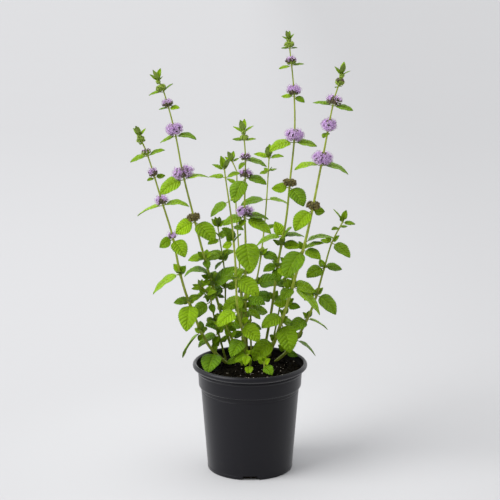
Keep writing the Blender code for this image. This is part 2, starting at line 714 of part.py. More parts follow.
def bore_soil(soil):
    """Cut each stem's hole, which leaves it a little room all round."""
    holes = []
    for shoot in ROUTES:
        line = stem_line(shoot)[:3]
        along = (line[0] - line[1]).normalized()
        line[0] = line[0] + along * GAP
        shape = stem_shape(shoot, line, spare=GAP)
        holes.append(add_object("hole_" + shoot, *shape, "soil_dark"))
    combine(soil, holes, "DIFFERENCE")
    tidy(soil)
    shade(soil, 30)


def build():
    """Make every object of the part."""
    clear_scene()
    pot = make_pot()
    soil = make_soil()
    green, whorls = grow([mesh_tree(pot), mesh_tree(soil)])
    bore_soil(soil)
    for shoot, shapes in green.items():
        name = "stem_" + shoot
        stem = add_object(name, *shapes[0], "leaf_green")
        leaves = [add_object(name + "_leaf", *shape, "leaf_green") for shape in shapes[1:]]
        combine(stem, leaves, "UNION")
        tidy(stem)
    for shoot, height, kind, shape in whorls:
        add_object(f"whorl_{shoot}_{height}", *shape, WHORLS[kind][3])


build()
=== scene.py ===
import json
import math
import random

import bmesh
import bpy
import numpy as np
from mathutils import Matrix, Vector, noise

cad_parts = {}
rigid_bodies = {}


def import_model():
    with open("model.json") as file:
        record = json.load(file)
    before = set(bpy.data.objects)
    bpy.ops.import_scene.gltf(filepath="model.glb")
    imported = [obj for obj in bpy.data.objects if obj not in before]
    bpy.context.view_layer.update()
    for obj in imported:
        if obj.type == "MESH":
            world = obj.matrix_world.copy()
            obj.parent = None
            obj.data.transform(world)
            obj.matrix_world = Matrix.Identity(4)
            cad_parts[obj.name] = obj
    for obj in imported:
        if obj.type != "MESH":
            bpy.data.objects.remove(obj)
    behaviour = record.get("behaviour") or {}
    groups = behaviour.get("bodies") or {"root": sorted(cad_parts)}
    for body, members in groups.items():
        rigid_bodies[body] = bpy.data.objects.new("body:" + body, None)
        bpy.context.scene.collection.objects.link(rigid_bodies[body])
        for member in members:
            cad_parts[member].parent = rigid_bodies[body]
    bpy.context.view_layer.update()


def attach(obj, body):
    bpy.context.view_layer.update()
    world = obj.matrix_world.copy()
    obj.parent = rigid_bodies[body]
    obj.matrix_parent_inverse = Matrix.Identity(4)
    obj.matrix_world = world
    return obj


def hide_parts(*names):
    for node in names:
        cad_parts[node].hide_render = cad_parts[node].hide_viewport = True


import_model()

# Potted mint in flower. The tables of stems and nodes are the part's own, so each fine leaf and
# whorl lies where the part's plain one does. Lengths are millimetres and are scaled by MM where a
# mesh is made.
MM = 0.001
SEED = 7

# Pot
POT_HEIGHT = 124.5
RIM_RADIUS = 65.0
MOUTH_RADIUS = 60.6
COLLAR_RADIUS = 59.0
COLLAR_BOTTOM = 97.5
BODY_TOP_RADIUS = 55.7
BASE_RADIUS = 48.8
WALL = 1.4
BASE_THICKNESS = 2.0
DRAINS = 3
DRAIN_WIDTH = 17.0
DRAIN_HEIGHT = 4.5
DRAIN_REACH = 9.0

# The pot's wall from the middle of its base up and down again inside: a radius and a height, and
# the corners there, each as (how far out, how far up, fillet)
POT_PROFILE = (
    (BASE_RADIUS, 0, ((-7, 0, 0.6), (-6, 0.5, 0.5), (-3, 0.5, 0.5), (-2, 0, 0.5), (-0.2, 0, 0.8),
                      (0.1, 3.6, 0.3), (-0.1, 4.0, 0.2))),
    (BODY_TOP_RADIUS, COLLAR_BOTTOM, ((-0.3, -6.0, 0.2), (-0.5, -5.6, 0.2), (-0.5, -5.0, 0.2),
                                      (-0.1, -4.6, 0.2), (0, -1.6, 0.5), (0.5, -0.6, 0.4))),
    (COLLAR_RADIUS, COLLAR_BOTTOM, ((-1.1, 0, 0.6), (-0.8, 1.4, 0.5))),
    (COLLAR_RADIUS, POT_HEIGHT, ((-0.1, -11.6, 0.5), (0.7, -10.8, 0.4), (0.9, -9.4, 0.4),
                                 (0.3, -8.9, 0.2), (0.4, -8.0, 0.3), (2.2, -7.2, 0.6))),
    (RIM_RADIUS, POT_HEIGHT, ((-0.9, -5.6, 0.9), (-0.1, -4.4, 0.7), (0, -2.2, 1.2),
                              (-1.6, -0.2, 0.8))),
    (MOUTH_RADIUS, POT_HEIGHT, ((1.6, 0, 0.8), (0, -1.4, 0.9), (-0.4, -4.5, 0.8))),
    (COLLAR_RADIUS - WALL, POT_HEIGHT, ((0, -8.5, 1.2),)),
    (COLLAR_RADIUS - WALL, COLLAR_BOTTOM, ((-1.0, 1.0, 0.5),)),
    (BODY_TOP_RADIUS - WALL, COLLAR_BOTTOM, ((0, -0.4, 0.4),)),
    (BASE_RADIUS - WALL, BASE_THICKNESS, ((0, 0, 0.8),)))

# Soil, with its clearance to the pot
SOIL_EDGE = 116.5
SOIL_MOUND = 2.5
GAP = 0.3
STEM_DEPTH = 14.0

# Stems: the side of the square, which narrows to the tip
STEM_WIDTH = 3.1
STOUT_STEM_WIDTH = 3.8
THIN_STEM_WIDTH = 2.3
STEM_TIP_WIDTH = 1.3
STEM_TAPER = 1.2
STEM_STEP = 27.0

# Leaves: they turn their upper faces to the light, which comes from the front, most of all low
# down. LEAF_KINDS gives the shortest leaf of a kind, its half width as a share of its length, and
# the size of its stalk.
SHORT_LEAF = 16.5
LEAF_KINDS = ((22.0, 0.30, 1.0), (SHORT_LEAF, 0.28, 1.0), (0, 0.26, 0.6))
LONG_BEND = 40
SHORT_BEND = 20
FOLD = 12.0
LIGHT_SIDE = -0.14
LOW_LEAN = 46
HIGH_LEAN = 12
LEAN_TOP = 370.0
PAIR_STEP = 1.2

# Each shoot's stem, as the points (x, y, z) that it passes through from the soil up.
ROUTES = {
    "a": [(-20, 12, 112), (-47, 8, 141), (-69, 1, 195), (-78, -4, 228), (-86, -10, 273),
          (-97, -15, 313), (-112, -22, 367), (-120, -25, 386)],
    "b": [(-14, 38, 112), (-24, 39, 137), (-39, 40, 190), (-51, 41, 231), (-64, 42, 283),
          (-76, 43, 333), (-85, 44, 382), (-98, 45, 430), (-103, 45, 438)],
    "c": [(-3, 28, 112), (-5, 14, 181), (-5, -4, 267), (-6, -11, 300), (-5, -24, 362),
          (-7, -30, 392)],
    "d": [(14, 36, 112), (25, 37, 176), (32, 37, 230), (41, 38, 281), (45, 38, 323),
          (50, 39, 378), (49, 39, 427), (43, 40, 484)],
    "e": [(12, 20, 112), (25, 16, 136), (39, 9, 179), (49, 3, 216), (63, -6, 272),
          (79, -20, 361), (90, -30, 425), (98, -35, 453)],
    "f": [(24, 26, 112), (40, 25, 126), (53, 24, 143), (71, 21, 182), (84, 18, 229),
          (92, 17, 258), (104, 15, 283)],
    "g": [(2, 42, 112), (1, 47, 167), (12, 56, 230), (18, 62, 284), (22, 70, 348)],
    "h": [(-3, 14, 112), (-8, 1, 158), (-14, -9, 188), (-16, -28, 244), (-20, -46, 298),
          (-26, -62, 346), (-27, -65, 356)],
    "k": [(-12, 46, 112), (-27, 49, 160), (-29, 54, 212), (-35, 58, 255), (-37, 60, 268)],
    "m": [(-26, 24, 112), (-38, 19, 160), (-43, 14, 183), (-46, 11, 200), (-55, 10, 209)],
    "s": [(-8, 34, 112), (-10, 32, 180), (-13, 33, 250), (-16, 35, 302), (-15, 36, 335),
          (-20, 37, 348)],
    "n": [(-6, 2, 112), (-18, 8, 140), (-27, 2, 166)],
    "o": [(1, -14, 112), (0, -13, 124), (-2, -11, 136)],
    "p": [(15, -20, 112), (16, -20, 123), (16, -18, 129)],
    "q": [(-3, 50, 112), (-8, 66, 170), (-10, 72, 198)],
    "r": [(22, 42, 112), (34, 56, 170), (44, 66, 222)],
}
STOUT_SHOOTS = "e"
THIN_SHOOTS = "gkmnopqrs"

# Each node of a shoot: its height, then its leaves as (facing, rise, length). Facing is degrees
# in plan from +X, rise is degrees above the horizon, length is from the stem to the leaf's tip.
# A fourth number is how many degrees further a leaf leans to the front, and a fifth is its bend.
# The last entry of a node in flower is its whorl, as (kind, diameter, depth).
NODES = {
    "a": [(132, [(-98, -35, 34)]),
          (158, [(102, 40, 14), (-153, -50, 36, -55), (66, 16, 12), (-156, 36, 15),
                 (-141, -20, 11)]),
          (194, [(160, -10, 19), (40, 15, 17), (-95, -60, 33)]),
          (228, [(-165, -36, 38, -27), (150, 45, 13, 30), (-45, 62, 13, 30)]),
          (268, [(160, -22, 19, 40, 20), (-50, -40, 26)], ("bloom", 10.5, 7)),
          (307, [(170, -24, 32, -16), (-10, 0, 30, -12, 60)], ("bloom", 14, 11)),
          (339, [(-140, -15, 10, 10), (20, 5, 12, 25)], ("bloom", 12, 10)),
          (363, [(170, -20, 21), (-10, 20, 20)], ("bud", 11, 7.5)),
          (378, [(80, 20, 8), (-100, 10, 8)], ("cup", 11, 6)),
          (386, [(-120, 68, 14, -50), (92, 68, 11), (165, 55, 13), (20, 50, 13)])],
    "b": [(153, [(-150, 12, 26), (-10, -10, 13)]),
          (171, [(-111, -28, 13), (25, 10, 16)]),
          (191, [(-144, 0, 17, -35, 20), (0, -10, 10)]),
          (203, [(-8, 36, 35, -6, 15)]),
          (212, [(-177, 2, 36, -30, 130), (57, 14, 14), (-123, -22, 15)]),
          (235, [(165, -10, 20, 10), (-132, -6, 10), (-70, -35, 15), (81, 40, 14)]),
          (277, [(165, -22, 27, 32, 20), (-35, -40, 32)], ("dry", 15.5, 10)),
          (326, [(-170, -30, 33, 14), (15, 12, 28, -10, 50)], ("bloom", 21, 15)),
          (375, [(150, -14, 22, 10, 25), (-15, -6, 25, 0, 60)], ("bloom", 20, 15)),
          (407, [(145, -10, 14), (-25, 5, 14, 20)], ("bloom", 14, 9.5)),
          (425, [(165, -15, 17), (-20, 38, 16)], ("cup", 12, 8)),
          (438, [(60, 70, 16), (-165, 66, 15, -30), (170, 40, 14), (20, 45, 9)])],
    "c": [(182, [(-6, -34, 20, -20)]),
          (193, [(-20, -5, 24), (-170, -20, 28)]),
          (226, [(150, 5, 16), (60, 10, 12)]),
          (266, [(-80, -56, 39)]),
          (293, [(-162, -16, 26), (10, 2, 27, -10, 50), (-115, -30, 15), (-12, -20, 33, -4, 30)],
           ("bloom", 17, 12.5)),
          (338, [(-15, -8, 24, 0, 55), (-130, -50, 31)], ("bloom", 14, 10)),
          (358, [(15, -16, 25, 0, 50), (-140, -42, 12)], ("bud", 12, 8)),
          (381, [(165, 5, 13), (-15, 10, 13)], ("cup", 10, 6)),
          (391, [(-140, 66, 16, -50), (85, 70, 16), (170, 30, 15), (10, 35, 15)])],
    "d": [(187, [(20, -25, 24), (-160, 15, 24)]),
          (227, [(-165, -18, 18, 10), (-45, -25, 26), (-93, -52, 20)]),
          (251, [(-15, -5, 22)]),
          (261, [(-165, -18, 33, -20, 60), (15, -5, 26, -18, 50), (165, 58, 21, 10, 20),
                 (-25, 60, 21, 0, 20)]),
          (318, [(160, 6, 21, 30, 8), (-45, -40, 29)], ("dry", 16, 9.5)),
          (369, [(-165, -18, 30, 6, 50), (10, -10, 26, 0, 30)], ("bloom", 22, 15.5)),
          (421, [(155, 6, 15, 10, 5), (-35, -22, 15, 10)], ("bloom", 17, 13)),
          (455, [(-160, -12, 15), (20, 6, 15)], ("bud", 13, 9.5)),
          (474, [(165, 10, 10), (-20, 15, 9)], ("cup", 11.5, 7.5)),
          (485, [(-145, 68, 12, -50), (70, 75, 11), (165, 30, 10), (15, 50, 11)])],
    "e": [(144, [(-158, -37, 33)]),
          (166, [(-45, -64, 35), (30, -20, 24)]),
          (175, [(-156, -26, 28)]),
          (187, [(-20, 0, 16), (-165, 15, 16)]),
          (211, [(-15, -43, 44, -32), (15, -15, 28), (-125, -30, 22)]),
          (255, [(-139, -50, 38), (-12, 20, 25, -22), (-25, -18, 23, -8)]),
          (263, [(4, 8, 34, -28, 60)]),
          (301, [(-153, -44, 30, 10), (20, -4, 16, 45, 5)], ("dry", 16, 10)),
          (352, [(-170, -8, 30, -12, 60), (10, -20, 33, -4, 60)], ("bloom", 23, 16)),
          (390, [(-110, -20, 14, 10), (70, 0, 14)], ("bloom", 20, 14.5)),
          (419, [(165, 6, 22, -8, 30), (-15, -12, 22, -6, 20)], ("bloom", 15.5, 11)),
          (440, [(-120, -5, 7), (60, -5, 7)], ("cup", 11.5, 9)),
          (453, [(60, 70, 16), (-80, 66, 15, -50), (165, 50, 14), (-10, 30, 12)])],
    "f": [(128, [(-9, -16, 15)]),
          (143, [(-15, -37, 29, -52), (160, -10, 18)]),
          (168, [(-155, -25, 26, 10), (15, -30, 28, -36)]),
          (197, [(-20, -42, 31, -14), (160, -25, 16)]),
          (229, [(-150, -22, 24, 14), (15, -8, 21)]),
          (258, [(-25, -35, 26, -8), (150, 10, 14)]),
          (276, [(-150, -5, 11), (25, 5, 10)]),
          (284, [(40, 64, 14, 25), (160, 50, 18, -30, 20), (-10, -5, 15)])],
    "g": [(170, [(-150, -20, 22), (30, -10, 22)]),
          (201, [(-10, 10, 33), (160, -25, 24)]),
          (235, [(-15, -8, 21), (160, 15, 21)]),
          (264, [(160, 25, 15), (-20, 25, 15)]),
          (299, [(-170, -12, 30, -14), (10, -14, 27, -14)]),
          (331, [(-150, -10, 11, 15), (35, 10, 12), (125, 30, 9), (-55, 45, 11)]),
          (347, [(85, 70, 16), (-115, 66, 15, -50), (170, 15, 19), (-10, 10, 18)])],
    "h": [(150, [(-130, -38, 27)]),
          (168, [(-25, -38, 28)]),
          (185, [(-155, -30, 29), (60, -10, 18)]),
          (227, [(-15, -40, 31), (165, 0, 14)]),
          (270, [(-155, 50, 22, 10), (-50, 70, 19), (150, -18, 15, 35)]),
          (290, [(-27, -12, 14)]),
          (319, [(-165, -40, 25), (30, 10, 14)]),
          (346, [(165, 0, 19), (-15, 20, 17)]),
          (356, [(150, 70, 15), (-25, 65, 15, -40), (170, 25, 15), (75, 60, 12)])],
    "k": [(197, [(-153, -14, 23), (-15, 10, 20)]),
          (229, [(-132, -32, 16, -45, 30)]),
          (235, [(-160, -12, 22), (39, 8, 18), (145, 20, 15)]),
          (254, [(-147, -18, 16), (-35, 30, 14)]),
          (268, [(135, 70, 12), (-65, 66, 14, -50), (165, 50, 13), (-20, 35, 18)])],
    "m": [(139, [(-174, -12, 11)]),
          (150, [(-147, -30, 28, -30, 60), (-126, -28, 14)]),
          (165, [(-126, 14, 18, 0, 70), (20, -30, 19)]),
          (190, [(-160, -45, 27), (-50, -55, 13)]),
          (200, [(145, -20, 15), (-25, 15, 15)]),
          (208, [(-145, 68, 11, -50), (85, 65, 10), (165, 20, 12), (-168, 0, 12)])],
    "s": [(322, [(165, 25, 13), (-10, -3, 13)]),
          (348, [(-150, 66, 13, -50), (60, 72, 12), (160, 30, 11), (10, 30, 9)])],
    "n": [(126, [(-165, -18, 15.5), (-60, -25, 10)]),
          (150, [(-60, -20, 14), (20, 20, 16)]),
          (166, [(-100, 50, 12, -50), (175, 10, 15), (-10, 30, 10)])],
    "o": [(124, [(-95, -25, 15.5)]),
          (136, [(-105, -35, 17), (-170, -28, 18), (30, 30, 9)])],
    "p": [(125, [(-60, -30, 18)]),
          (129, [(120, 45, 8), (10, 25, 8)])],
    "q": [(148, [(160, 0, 20), (-20, -5, 20)]),
          (172, [(100, 10, 16), (-80, 0, 18)]),
          (198, [(60, 50, 12), (170, 25, 14), (-20, 30, 13)])],
    "r": [(174, [(108, 38, 15), (-45, 18, 12)]),
          (198, [(60, 0, 16), (-130, 10, 16)]),
          (222, [(90, 60, 14), (-150, 40, 14), (-25, 30, 13)])],
}

# Where a tall shoot bears plain leaves between these heights, a pair of young ones stands in
# their axils, at right angles to them.
YOUNG_HEIGHTS = (190, 254)
CROWDED = 3
YOUNG_RISE = 42
YOUNG_LENGTH = 11.5

# How far a whorl's lowest florets sit above their pair of leaves
WHORL_SEAT = 1.0

# How far a leaf is turned and tilted from its place, so that it is clear of the other shoots, and
# its share of its length where it is shortened. The key is the leaf's number on its shoot.
MOVES = {
    "a": {0: (-8, 8), 6: (40, -8), 7: (24, -16), 8: (16, -32), 13: (0, -8), 14: (0, -8), 15:
          (-32, -40), 16: (-40, -8), 19: (0, -8), 20: (-24, -16), 22: (48, -32), 23: (-8, 8),
          24: (0, -8), 32: (-8, 0), 33: (0, -16)},
    "b": {10: (-8, -8), 13: (8, -32), 17: (0, -24), 18: (0, -16), 20: (8, 8), 23: (0, -16), 24:
          (-40, -24), 25: (-40, 0), 32: (0, -8), 35: (-8, -8), 36: (0, -8)},
    "c": {6: (16, -16), 7: (16, -40), 8: (-48, -40), 11: (0, -8), 12: (0, -40), 13: (-40, -40),
          14: (-16, -16), 17: (0, -8), 19: (0, -8), 20: (8, -8)},
    "d": {3: (0, 8), 7: (-24, -8), 10: (-8, -24), 14: (32, -32), 15: (-8, -8), 18: (-32, -8),
          19: (-24, -16), 20: (56, -40), 21: (24, -40), 22: (0, -16), 25: (-8, 0), 26: (0, -8),
          30: (-8, -8), 31: (0, -8)},
    "e": {4: (8, 0), 13: (0, 8), 18: (-40, 16), 19: (48, -32), 20: (-32, -24), 24: (-40, 16),
          25: (0, -16), 28: (8, -8)},
    "f": {7: (16, 0), 13: (0, -8), 14: (0, -8), 19: (0, -8), 22: (16, -40)},
    "g": {6: (-16, -8), 9: (8, -24), 15: (16, -24)},
    "h": {13: (0, -16), 15: (-48, -40), 17: (-8, -32)},
    "k": {0: (-8, -8), 2: (-8, 0), 5: (0, -32), 9: (32, -32), 10: (-8, -16), 15: (-56, -24), 16:
          (56, -24)},
    "m": {3: (-24, 0), 4: (0, -16), 9: (16, 8), 11: (-8, 0), 17: (8, -8), 20: (-8, -40)},
    "s": {},
    "n": {3: (0, 8), 4: (0, -8)},
    "o": {},
    "p": {0: (0, 8)},
    "q": {7: (-8, 8)},
    "r": {2: (0, 32), 3: (0, 8), 9: (-40, -40, 0.7)},
}

# The finer pot, soil and stems
POT_SIDES = 160
POT_SHARP = 40
ARC_STEPS = 5
DRAIN_TOP = 0.86
DRAIN_FOOT = 1.7
SOIL_SIDES = 120
SOIL_RINGS = 44
SOIL_SHARP = 35
CRUMBS = 620
GRITS = 70
RING_STEP = 3.0
STEM_SIDES = 16
SQUARENESS = 5.0
STEM_HOLLOW = 0.05
KNOT_SWELL = 0.16
KNOT_REACH = 2.0
OLD_WOOD = 140.0

# A fine leaf: its columns across, its teeth, its outline's powers, its veins and its unevenness
WIDE_COLUMNS = (-1, -0.76, -0.5, -0.26, -0.08, 0, 0.08, 0.26, 0.5, 0.76, 1)
NARROW_COLUMNS = (-1, -0.55, -0.12, 0, 0.12, 0.55, 1)
LEAF_START = 0.1
TOOTH_STEP = 2.2
TOOTH_PEAK = 0.62
TOOTH_HEIGHT = 0.62
TOOTH_LENGTH = 26
NOTCH = 0.35
LEAST_HALF = 0.12
BASE_POWER = 0.45
TIP_POWER = 0.85
LEAF_PEAK = 0.4323
STALK_HALF = 0.6
STALK_THICKNESS = 0.95
LEAF_THICKNESS = 0.36
EDGE_THINNING = 0.18
RIB = 0.35
CUPPING = 0.10
QUILT = 0.027
RIPPLE = 0.012
WAVES = 2.3
SWEEP = 0.06
TWIST = 12.0
VEINS = 7
VEIN_SWEEP = 0.22
VEIN_POWER = 1.3
VEIN_SHOW = 0.22
# How dark the painted shade along the side veins' creases is
CREASE_SHADE = 0.13

# The youngest leaves, round a shoot's tip and in the axils lower down
CROWN_TURNS = (60, 120, -60, -120)
CROWN_RISE = 66
CROWN_LENGTH = 6.5
AXIL_TURNS = (25, 205)
AXIL_RISE = 48
AXIL_LENGTH = 12.5
AXIL_TOP = 262

# Leaves are paler towards the top; low leaves at the back, deep in the clump, get painted shade.
TOP_TINT = 0.15
DEEP_SHADE_TINT = 0.3
BACK = 30.0
DEPTH = 130.0

# A leaf's width and length against the plain one's, and its tint, for its age
AGES = {"grown": (1.08, 1.04, (0.1, 0.75)), "young": (1.0, 1.22, (0.3, 0.8)),
        "top": (0.98, 1.0, (0.35, 0.85)), "tip": (0.85, 0.9, (0.6, 0.95)),
        "crown": (1.1, 1.0, (0.7, 1.0)), "axil": (1.1, 1.0, (0.4, 0.9))}

# Florets
COROLLA_TUBE = 0.9
PETAL_LENGTH = 2.2
PETAL_HALF = 0.9
STAMEN = 3.0
TWO_SIDED_WHORLS = ("a268", "a307", "b326", "c293", "c338", "e419")
TWO_SIDED = (0.8, 0.28)
ONE_ROUND = (0.2, 0.1)
BUD_RANK = 0.55
MEAN_ASIDE = 0.64
GOLDEN_ANGLE = 2.39996
HEART_RINGS = ((-0.75, 0.3), (-0.4, 0.5), (0.1, 0.52), (0.5, 0.42), (0.78, 0.24))
FLOWERING_SHOOTS = "abcde"
TIP_BUDS = (5.5, 7.0)
FLORET_ROOM = {"bloom": 10.0, "bud": 7.5, "dry": 8.5, "cup": 7.0}
CALYX_SHAPES = {"bloom": (2.9, 0.85, 0.35), "bud": (2.9, 0.9, 0.3), "dry": (3.0, 0.95, 0.25),
                "cup": (2.6, 0.95, 0.3)}

# How much of each whorl is in flower, and how much of it is green
FLOWERING = {"a268": 0.55, "a307": 0.5, "a339": 0.3, "b326": 0.93, "b375": 0.97, "b407": 0.35,
             "c293": 0.6, "c338": 0.35, "c358": 0.06, "d369": 0.97, "d421": 0.62, "d455": 0.08,
             "e352": 0.97, "e390": 1.0, "e419": 0.25}
GREEN = {"bloom": 0.06, "bud": 0.2, "dry": 0, "cup": 2, "a363": 0.85, "d455": 0.4, "e440": 0.7}

# The order of the plant's materials, and the greens of a leaf's upper and lower face
TOP_SLOT, UNDER_SLOT, STEM_SLOT, CUP_SLOT, PETAL_SLOT, STAMEN_SLOT, CALYX_SLOT, DRY_SLOT = range(8)
LEAF_DEEP = (0.098, 0.222, 0.001)
LEAF_BRIGHT = (0.36, 0.59, 0.003)
LEAF_VEIN = (0.42, 0.56, 0.05)
UNDER_DEEP = (0.165, 0.26, 0.032)
UNDER_BRIGHT = (0.28, 0.39, 0.07)
UNDER_VEIN = (0.42, 0.50, 0.16)

# Studio, in metres and degrees
FLOOR_RADIUS = 60.0
FLOOR_DROP = 0.0002
PAPER = (0.455, 0.455, 0.46)
# Painted light on the floor, brighter in front and round the pot; painted shade, duller on the
# right
PAPER_NEAR_LIGHT = 1.09
PAPER_RIGHT_SHADE = 0.89
PAPER_POT_LIGHT = 1.08
FILL_COLOUR = (0.975, 0.98, 1.0)
FILL = (0.5, 1.28)
LIGHTS = [("key_light", (-1.0, -0.45, 0.85), 45.0, 2.9)]
CAMERA_PLACE = (0, -1.633, 0.621)
CAMERA_TILT = 77.33
LENS = 108

# How pale a shoot's stem is at its foot and further up
STEM_TINTS = {"a": (0.4, 0.65), "b": (0.1, 0.5), "c": (0.15, 0.85), "d": (0.15, 0.65),
              "e": (0.75, 0.95), "f": (0.4, 0.75), "g": (0.6, 1.0), "h": (0.75, 0.85),
              "k": (0.1, 0.4), "m": (0.1, 0.25), "n": (0.1, 0.2), "o": (0.1, 0.1),
              "p": (0.1, 0.1), "q": (0.1, 0.2), "r": (0.1, 0.2), "s": (0.15, 0.9)}


def route_point(route, height):
    """The middle of a stem at a height, on a smooth curve through the route's points."""
    last = len(route) - 2
    index = max(i for i in range(last + 1) if i == 0 or route[i][2] <= height)
    low, high = Vector(route[index]), Vector(route[index + 1])
    span = high.z - low.z

    def slope(i):
        before, after = Vector(route[max(i - 1, 0)]), Vector(route[min(i + 1, last + 1)])
        return (after - before) / (after.z - before.z)

    share = (height - low.z) / span
    if share < 0 or share > 1:
        end = low if share < 0 else high
        return end + slope(index if share < 0 else index + 1) * (height - end.z)
    square, cube = share ** 2, share ** 3
    return ((2 * cube - 3 * square + 1) * low + (cube - 2 * square + share) * span * slope(index)
            + (3 * square - 2 * cube) * high + (cube - square) * span * slope(index + 1))


def stem_width(shoot, height):
    """The side of the square stem, thinner towards its tip."""
    route = ROUTES[shoot]
    base = THIN_STEM_WIDTH if shoot in THIN_SHOOTS else STEM_WIDTH
    if shoot in STOUT_SHOOTS:
        base = STOUT_STEM_WIDTH
    share = (height - route[0][2]) / (route[-1][2] - route[0][2])
    return base + (STEM_TIP_WIDTH - base) * max(share, 0) ** STEM_TAPER


def stem_line(shoot):
    """The middles of a stem's sections, from its foot in the soil to its tip."""
    route = ROUTES[shoot]
    foot, tip = route[0][2], route[-1][2] + 1
    steps = math.ceil((tip - foot) / STEM_STEP)
    heights = [foot + (tip - foot) * step / steps for step in range(steps + 1)]
    return [route_point(route, height) for height in [foot - STEM_DEPTH, *heights]]


def on_line(line, height):
    """The point of a stem's line at a height, and the way that the stem runs there."""
    index = max(i for i in range(len(line) - 1) if i == 0 or line[i].z <= height)
    low, high = line[index], line[index + 1]
    return low.lerp(high, (height - low.z) / (high.z - low.z)), (high - low).normalized()


def cross_section(along):
    """The ways to the right and to the back of a stem that runs along a direction."""
    side = (Vector((1, 0, 0)) - along * along.x).normalized()
    return side, along.cross(side)


def sunward(height, more):
    """Where a leaf's upper face turns to at a height, leaning some degrees more than most."""
    share = min(max((height - SOIL_EDGE) / (LEAN_TOP - SOIL_EDGE), 0), 1)
    lean = math.radians(LOW_LEAN + (HIGH_LEAN - LOW_LEAN) * share + more)
    return Vector((LIGHT_SIDE, -math.sin(lean), math.cos(lean))).normalized()


def moved(leaf, turn=0, tilt=0, share=1):
    """A leaf's facing, rise, length, lean and bend after its move."""
    facing, rise, length, *others = leaf
    usual = (0, LONG_BEND if length >= SHORT_LEAF else SHORT_BEND)
    return facing + turn, rise + tilt, length * share, *others, *usual[len(others):]


def young_leaves(node):
    """The young pair of a node, or none where it is in flower, crowded or out of their reach."""
    low, high = YOUNG_HEIGHTS
    if len(node) > 2 or len(node[1]) > CROWDED or not low < node[0] < high:
        return []
    facing = node[1][0][0]
    return [(facing + turn, YOUNG_RISE, YOUNG_LENGTH) for turn in (90, -90)]


def grow():
    """Where every leaf of every shoot lies, as (root, place, age), and where every whorl does."""
    leaves, whorls = {}, []
    for shoot, nodes in NODES.items():
        line, found, axil = stem_line(shoot), [], []
        tip_age = "tip" if shoot in FLOWERING_SHOOTS else "top"
        for node in nodes:
            base, pair, *whorl = node
            facing = pair[0][0]
            height = min(base, ROUTES[shoot][-1][2])
            tip = node is nodes[-1]
            for kind, diameter, depth in whorl:
                middle = base + depth / 2 + WHORL_SEAT
                whorls.append((shoot, base, kind, middle, diameter, depth, facing))
            for index, leaf in enumerate(pair + young_leaves(node)):
                root = on_line(line, height - PAIR_STEP * (index // 2))[0]
                age = tip_age if tip else "grown" if index < len(pair) else "young"
                found.append((root, moved(leaf, *MOVES[shoot].get(len(found + axil), ())), age))
            if tip:
                found += [(root, moved((facing + turn, CROWN_RISE, CROWN_LENGTH)), "crown")
                          for turn in CROWN_TURNS]
            elif not whorl and height < AXIL_TOP:
                for turn in AXIL_TURNS:
                    leaf = (facing + turn, AXIL_RISE, AXIL_LENGTH)
                    move = MOVES[shoot].get(len(found + axil), ())
                    axil.append((root, moved(leaf, *move), "axil"))
        leaves[shoot] = found + axil
    return leaves, whorls


class Gathered:
    """The points, faces, materials and marks of one piece, in millimetres, until it is made.

    A point's mark is three numbers that its material reads: across, along and tint.
    """

    def __init__(self, name):
        self.name = name
        self.points = []
        self.faces = []
        self.slots = []
        self.marks = []
        self.count = 0

    def add(self, points, faces, slot, marks):
        """Add a body. The marks are one for every point, or a single one for all of them."""
        points = np.asarray([tuple(point) for point in points], float)
        marks = np.asarray(marks, float)
        if marks.ndim == 1:
            marks = np.tile(marks, (len(points), 1))
        self.points.append(points)
        self.marks.append(marks)
        self.faces += [tuple(self.count + corner for corner in face) for face in faces]
        self.slots += list(slot) if isinstance(slot, (list, tuple)) else [slot] * len(faces)
        self.count += len(points)

    def make(self, materials, sharp=50):
        """The piece as an object, shaded smooth but for edges sharper than the angle."""
        mesh = bpy.data.meshes.new(self.name)
        mesh.from_pydata((np.concatenate(self.points) * MM).tolist(), [], self.faces)
        used = sorted(set(self.slots))
        for slot in used:
            mesh.materials.append(materials[slot])
        mesh.polygons.foreach_set("material_index", [used.index(slot) for slot in self.slots])
        mark = mesh.attributes.new("mark", "FLOAT_VECTOR", "POINT")
        mark.data.foreach_set("vector", np.concatenate(self.marks).astype(np.float32).ravel())
        mesh.shade_smooth()
        mesh.set_sharp_from_angle(angle=math.radians(sharp))
        return new_object(self.name, mesh)


def new_object(name, data):
    """An object in the scene."""
    made = bpy.data.objects.new(name, data)
    bpy.context.scene.collection.objects.link(made)
    return made


def unit(vectors):
    """Vectors of length one."""
    return vectors / np.linalg.norm(vectors, axis=-1, keepdims=True)


def ring_faces(rings, sides):
    """The quads between rings of points, and a cap on either end."""
    quads = [(a + side, a + (side + 1) % sides, a + sides + (side + 1) % sides, a + sides + side)
             for a in range(0, (rings - 1) * sides, sides) for side in range(sides)]
    return quads + [tuple(reversed(range(sides))), tuple(range((rings - 1) * sides, rings * sides))]


def frame_of(direction):
    """Two directions at right angles to a third and to each other."""
    side = direction.orthogonal().normalized()
    return side, direction.cross(side).normalized()


def around(side, front, angle):
    """The direction at an angle from the side towards the front."""
    return side * math.cos(angle) + front * math.sin(angle)


def add_tube(piece, middles, radii, sides, slot, mark):
    """A closed tube of round rings along straight or bent middles."""
    points = []
    for index, middle in enumerate(middles):
        along = middles[min(index + 1, len(middles) - 1)] - middles[max(index - 1, 0)]
        axes = frame_of(along.normalized())
        points += [middle + around(*axes, math.tau * step / sides) * radii[index]
                   for step in range(sides)]
    piece.add(points, ring_faces(len(middles), sides), slot, mark)


